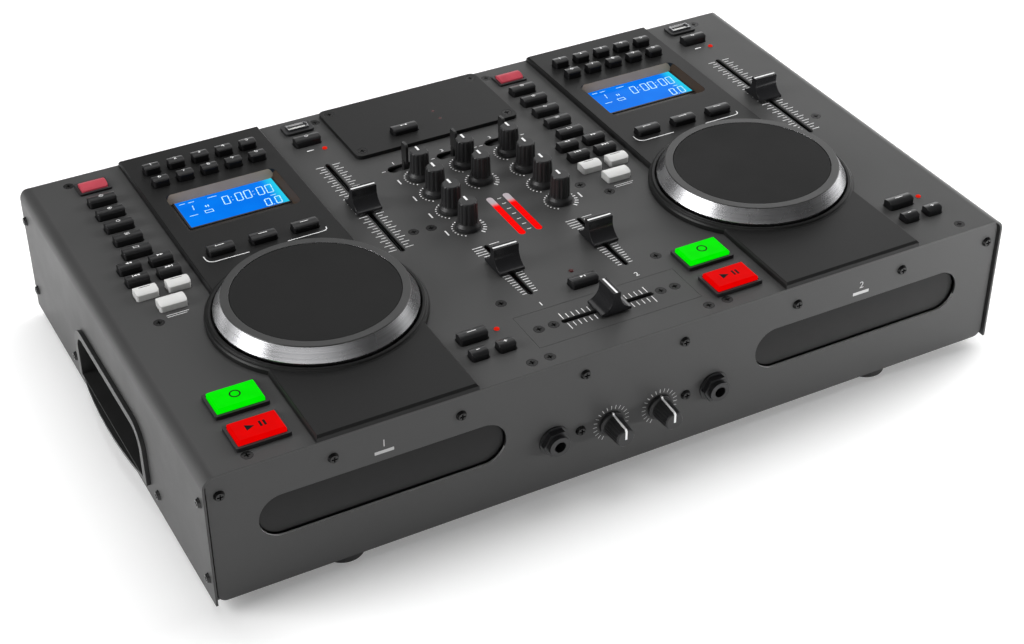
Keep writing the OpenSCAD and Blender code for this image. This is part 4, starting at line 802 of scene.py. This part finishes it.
def deck_key_print(s):
    """Plain signs on the black keys of a deck."""
    x = DECK_X[s]
    ink = Ink()
    for i, sign in enumerate(MODE_SIGNS):
        sign(ink.at(on_top(x + STRIP_X, MODE_SIGN_Y - MODE_PITCH * i)))
    for side in (-1, 1):
        for y in (SEARCH_SIGN_Y, SKIP_SIGN_Y):
            ink.at(on_top(x + STRIP_X + side * PAIR_X, y))
            ink.arrow((-0.9, 0), 1.8, side).arrow((0.9, 0), 1.8, side)
            if y == SKIP_SIGN_Y:
                ink.bar((side * 2.2, 0), 0.45, 1.9)
    for i in range(3):
        ink.at(on_top(x + LOOP_X + LOOP_PITCH * (i - 1), LOOP_SIGN_Y)).dash(2.4, 0.45)
        if i < 2:
            end = (-2.4, 2.4)[i]
            ink.line([(end, -0.7), (end, 0.7)], 0.4)
    ink.at(on_top(x + SOURCE_SIGN[0], SOURCE_SIGN[1])).arc((0, 0), 1.0, 0.3).bar((0, 0), 0.4, 0.4)
    ink.at(on_top(x + PITCH_SIGN[0], PITCH_SIGN[1])).dash(2.6, 0.45)
    ink.at(on_top(x + MINUS_SIGN[0], MINUS_SIGN[1])).dash(1, 0.45)
    ink.at(on_top(x + PLUS_SIGN[0], PLUS_SIGN[1])).dash(1, 0.45).line([(0, -1), (0, 1)], 0.45)
    ink.lay_on(f"deck_keys_{s}").piece(f"key_print_{s}", f"deck_key_group_{s}", WHITE_INK)


def dark_print(s):
    """Dark marks on the white keys and on the lit caps of a deck."""
    x = DECK_X[s]
    ink = Ink()
    for u in (-PAIR_X, PAIR_X):
        ink.at(on_top(x + STRIP_X + u, WHITE_SIGN_Y)).dash(3.2, 0.5)
    ink.lay_on(f"deck_keys_{s}")
    ink.piece(f"white_key_print_{s}", f"deck_key_group_{s}", DARK_INK, "black_plastic")
    ink = Ink().at(on_top(x + LIT_CAP_X, CUE_SIGN_Y)).arc((0, 0), 2.6, 0.8)
    ink.lay_on(f"cue_button_{s}").piece(f"cue_print_{s}", f"cue_cap_{s}", DARK_INK, "black_plastic")
    ink = Ink().at(on_top(x + LIT_CAP_X, PLAY_SIGN_Y)).arrow((-3.2, 0), 4.6)
    ink.bar((2.2, 0), 1.2, 4.2).bar((4.4, 0), 1.2, 4.2)
    ink.lay_on(f"play_button_{s}").piece(f"play_print_{s}", f"play_cap_{s}", DARK_INK, "black_plastic")


def mixer_key_print():
    ink = Ink()
    ink.at(on_top(*START_SIGN)).arrow((-0.6, 0), 1.8).bar((1.2, 0), 0.5, 1.9)
    ink.at(on_top(*PAIR_SIGN)).dot((-1.5, 0), 0.6).dot((1.5, 0), 0.6).dash(1, 0.3)
    ink.lay_on("mixer_keys").piece("mixer_key_print", "mixer_key_group", WHITE_INK)


def key_print():
    for s in DECKS:
        number_print(s)
        deck_key_print(s)
        dark_print(s)
    mixer_key_print()


def fader_lines():
    """The pale line along the ridge of each fader cap."""
    faders = [(f"{k}_fader_{s}", f"{k}_slider_{s}", 0) for k in ("pitch", "channel") for s in DECKS]
    faders.append(("crossfader", "cross_slider", 90))
    for node, body, turn in faders:
        at = middle(node)
        ink = Ink().at(on_top(at.x, at.y, highest(node).z, turn)).bar((0, 0), 14.6, 1.1)
        ink.piece(f"{node}_line", body, WHITE_INK)


# ---------------------------------------------------------------- displays

SEGMENTS = {"0": "abcdef", "1": "bc"}
# text, left end, foot, width and height of a digit, step to the next, stroke
DISPLAY_TEXTS = (("0:00:00", -4.2, -0.1, 3.6, 8.4, 5.4, 0.55), ("0.0", 16.6, -13.0, 3.2, 7.2, 4.3, 0.6),
                 ("1", -24.5, 2.6, 2.6, 5.2, 4.0, 0.5))
# middle and length of the short strokes that stand where the real display has words
DISPLAY_DASHES = ((-26, 11.6, 3.6), (-20.6, 11.4, 3.6), (-24, -2.6, 5), (-8, 11.2, 5.4), (24, -3.4, 3.2))


def digit(ink, x, y, w, h, char, bold):
    """One seven segment digit with its lower left corner at x, y, slanted a little."""
    def slant(points):
        return [(x + u + 0.12 * v, y + v) for u, v in points]
    lines = {"a": [(0, h), (w, h)], "b": [(w, h), (w, h / 2)], "c": [(w, h / 2), (w, 0)],
             "d": [(0, 0), (w, 0)], "e": [(0, 0), (0, h / 2)], "f": [(0, h / 2), (0, h)]}
    if char in ":.":
        for v in ((h * 0.3, h * 0.7) if char == ":" else (0,)):
            ink.bar(slant([(0, v)])[0], bold, bold)
        return
    for key in SEGMENTS[char]:
        (u0, v0), (u1, v1) = lines[key]
        inset = 0.12 * (1 if v0 == v1 else 2)
        du, dv = (u1 - u0), (v1 - v0)
        size = math.hypot(du, dv)
        du, dv = du / size * inset, dv / size * inset
        ink.line(slant([(u0 + du, v0 + dv), (u1 - du, v1 - dv)]), bold)


def write(ink, text, x, y, w, h, step, bold):
    for char in text:
        digit(ink, x, y, w, h, char, bold)
        x += step * (0.45 if char in ":." else 1)


def displays():
    for s in DECKS:
        x, y = DECK_X[s] + LCD_AT[0], LCD_AT[1]
        panel = Ink().at(on_top(x, y, LCD_TOP)).bar((0, 0), *LCD_GLASS)
        panel.piece(f"display_{s}", "console", display_material(f"display_glass_{s}", x), "display_blue", 0.2)
        rim = Ink().at(on_top(x, y, LCD_TOP)).outline(LCD_GLASS[0] + 1.0, LCD_GLASS[1] + 1.0, 0.9, 1.2)
        rim.piece(f"display_rim_{s}", "console", FRAME_BLACK, "black_plastic", 0.5)
        ink = Ink().at(on_top(x, y, LCD_TOP + 0.18))
        for text in DISPLAY_TEXTS:
            write(ink, *text)
        ink.bar((-14.6, 3.4), 0.6, 2.0).bar((-13.2, 3.4), 0.6, 2.0)
        for u, v, w in DISPLAY_DASHES:
            ink.bar((u, v), w, 0.45)
        ink.line([(-17, -3.6), (-12.4, -3.6), (-12.4, -1.0), (-17, -1.0), (-17, -3.6)], 0.4)
        ink.piece(f"display_digits_{s}", "console", DIGIT, "display_blue")


top_print()
plate_print()
front_print()
key_print()
fader_lines()
displays()


# ---------------------------------------------------------------- studio

# Light of the room and of its wall, the wall's direction, and how it fades to its sides and upward
ROOM = 0.08
WALL = 2.0
WALL_SIDE = (0.87, 0.50, 0.0)
WALL_WIDTH = (0.60, 0.88)
WALL_HEIGHT = (0.70, 0.28)
CAMERA_AT = (-0.43914, -0.83781, 0.68210)
CAMERA_TURN = (54.3577, 0.2347, -28.0684)
CAMERA_LENS = 68.67
LAMP_TARGET = (0, 0, 0.05)


def studio_floor():
    size = 6.0
    mesh = bpy.data.meshes.new("floor")
    corners = [(-size, -size, 0), (size, -size, 0), (size, size, 0), (-size, size, 0)]
    mesh.from_pydata(corners, [], [(0, 1, 2, 3)])
    floor = bpy.data.objects.new("floor", mesh)
    floor.data.materials.append(floor_material())
    bpy.context.scene.collection.objects.link(floor)


def studio_world():
    """A dim room with a pale wall low down behind the right side, and white for the camera."""
    world = bpy.data.worlds.new("studio_world")
    bpy.context.scene.world = world
    world.use_nodes = True
    nodes, links = world.node_tree.nodes, world.node_tree.links
    way = nodes.new("ShaderNodeTexCoord").outputs["Generated"]
    toward = nodes.new("ShaderNodeVectorMath")
    toward.operation = "DOT_PRODUCT"
    toward.inputs[1].default_value = WALL_SIDE
    links.new(way, toward.inputs[0])
    height = nodes.new("ShaderNodeSeparateXYZ")
    links.new(way, height.inputs[0])
    fades = []
    for source, (start, end) in ((toward.outputs["Value"], WALL_WIDTH), (height.outputs[2], WALL_HEIGHT)):
        fade = nodes.new("ShaderNodeMapRange")
        fade.interpolation_type = "SMOOTHSTEP"
        fade.inputs["From Min"].default_value = start
        fade.inputs["From Max"].default_value = end
        links.new(source, fade.inputs["Value"])
        fades.append(fade.outputs["Result"])
    wall = nodes.new("ShaderNodeMath")
    wall.operation = "MULTIPLY"
    for i, fade in enumerate(fades):
        links.new(fade, wall.inputs[i])
    tone = nodes.new("ShaderNodeMapRange")
    tone.inputs["To Min"].default_value = ROOM
    tone.inputs["To Max"].default_value = WALL
    links.new(wall.outputs[0], tone.inputs["Value"])
    light = nodes["Background"]
    links.new(tone.outputs["Result"], light.inputs["Color"])
    white = nodes.new("ShaderNodeBackground")
    white.inputs["Color"].default_value = (1, 1, 1, 1)
    path = nodes.new("ShaderNodeLightPath")
    mix = nodes.new("ShaderNodeMixShader")
    links.new(path.outputs["Is Camera Ray"], mix.inputs[0])
    links.new(light.outputs[0], mix.inputs[1])
    links.new(white.outputs[0], mix.inputs[2])
    links.new(mix.outputs[0], nodes["World Output"].inputs["Surface"])


def lamp(name, place, target, width, height, power, mirrored=True):
    """A soft rectangular lamp, its power in watts."""
    data = bpy.data.lights.new(name, "AREA")
    data.shape = "RECTANGLE"
    data.size = width
    data.size_y = height
    data.energy = power
    made = bpy.data.objects.new(name, data)
    made.location = place
    made.visible_glossy = mirrored
    made.rotation_euler = (Vector(target) - Vector(place)).to_track_quat("-Z", "Y").to_euler()
    bpy.context.scene.collection.objects.link(made)


def camera():
    """The photo's camera, solved from its edges, the matching points of both decks and the jog wheels."""
    data = bpy.data.cameras.new("camera")
    data.sensor_width = 36.0
    data.sensor_fit = "HORIZONTAL"
    data.lens = CAMERA_LENS
    made = bpy.data.objects.new("camera", data)
    made.location = CAMERA_AT
    made.rotation_euler = [math.radians(a) for a in CAMERA_TURN]
    bpy.context.scene.collection.objects.link(made)
    bpy.context.scene.camera = made


studio_floor()
studio_world()
lamp("left_softbox", (-1.7, 0.3, 0.9), LAMP_TARGET, 1.0, 1.0, 26)
lamp("top_softbox", (0.1, 0.3, 1.9), LAMP_TARGET, 1.2, 0.8, 14, mirrored=False)
lamp("low_card", (-0.75, -1.2, 0.48), LAMP_TARGET, 2.0, 0.45, 4.2)
lamp("rear_softbox", (0.4, 1.1, 1.6), LAMP_TARGET, 1.4, 0.8, 4)
lamp("right_softbox", (1.4, 0.2, 0.8), (0.1, 0, 0.05), 1.0, 0.9, 18, mirrored=False)
lamp("front_card", (0.50, -0.48, 0.05), (0.1, -0.15, 0.05), 0.3, 0.08, 2.8, mirrored=False)
camera()
bpy.context.scene.view_settings.view_transform = "Standard"
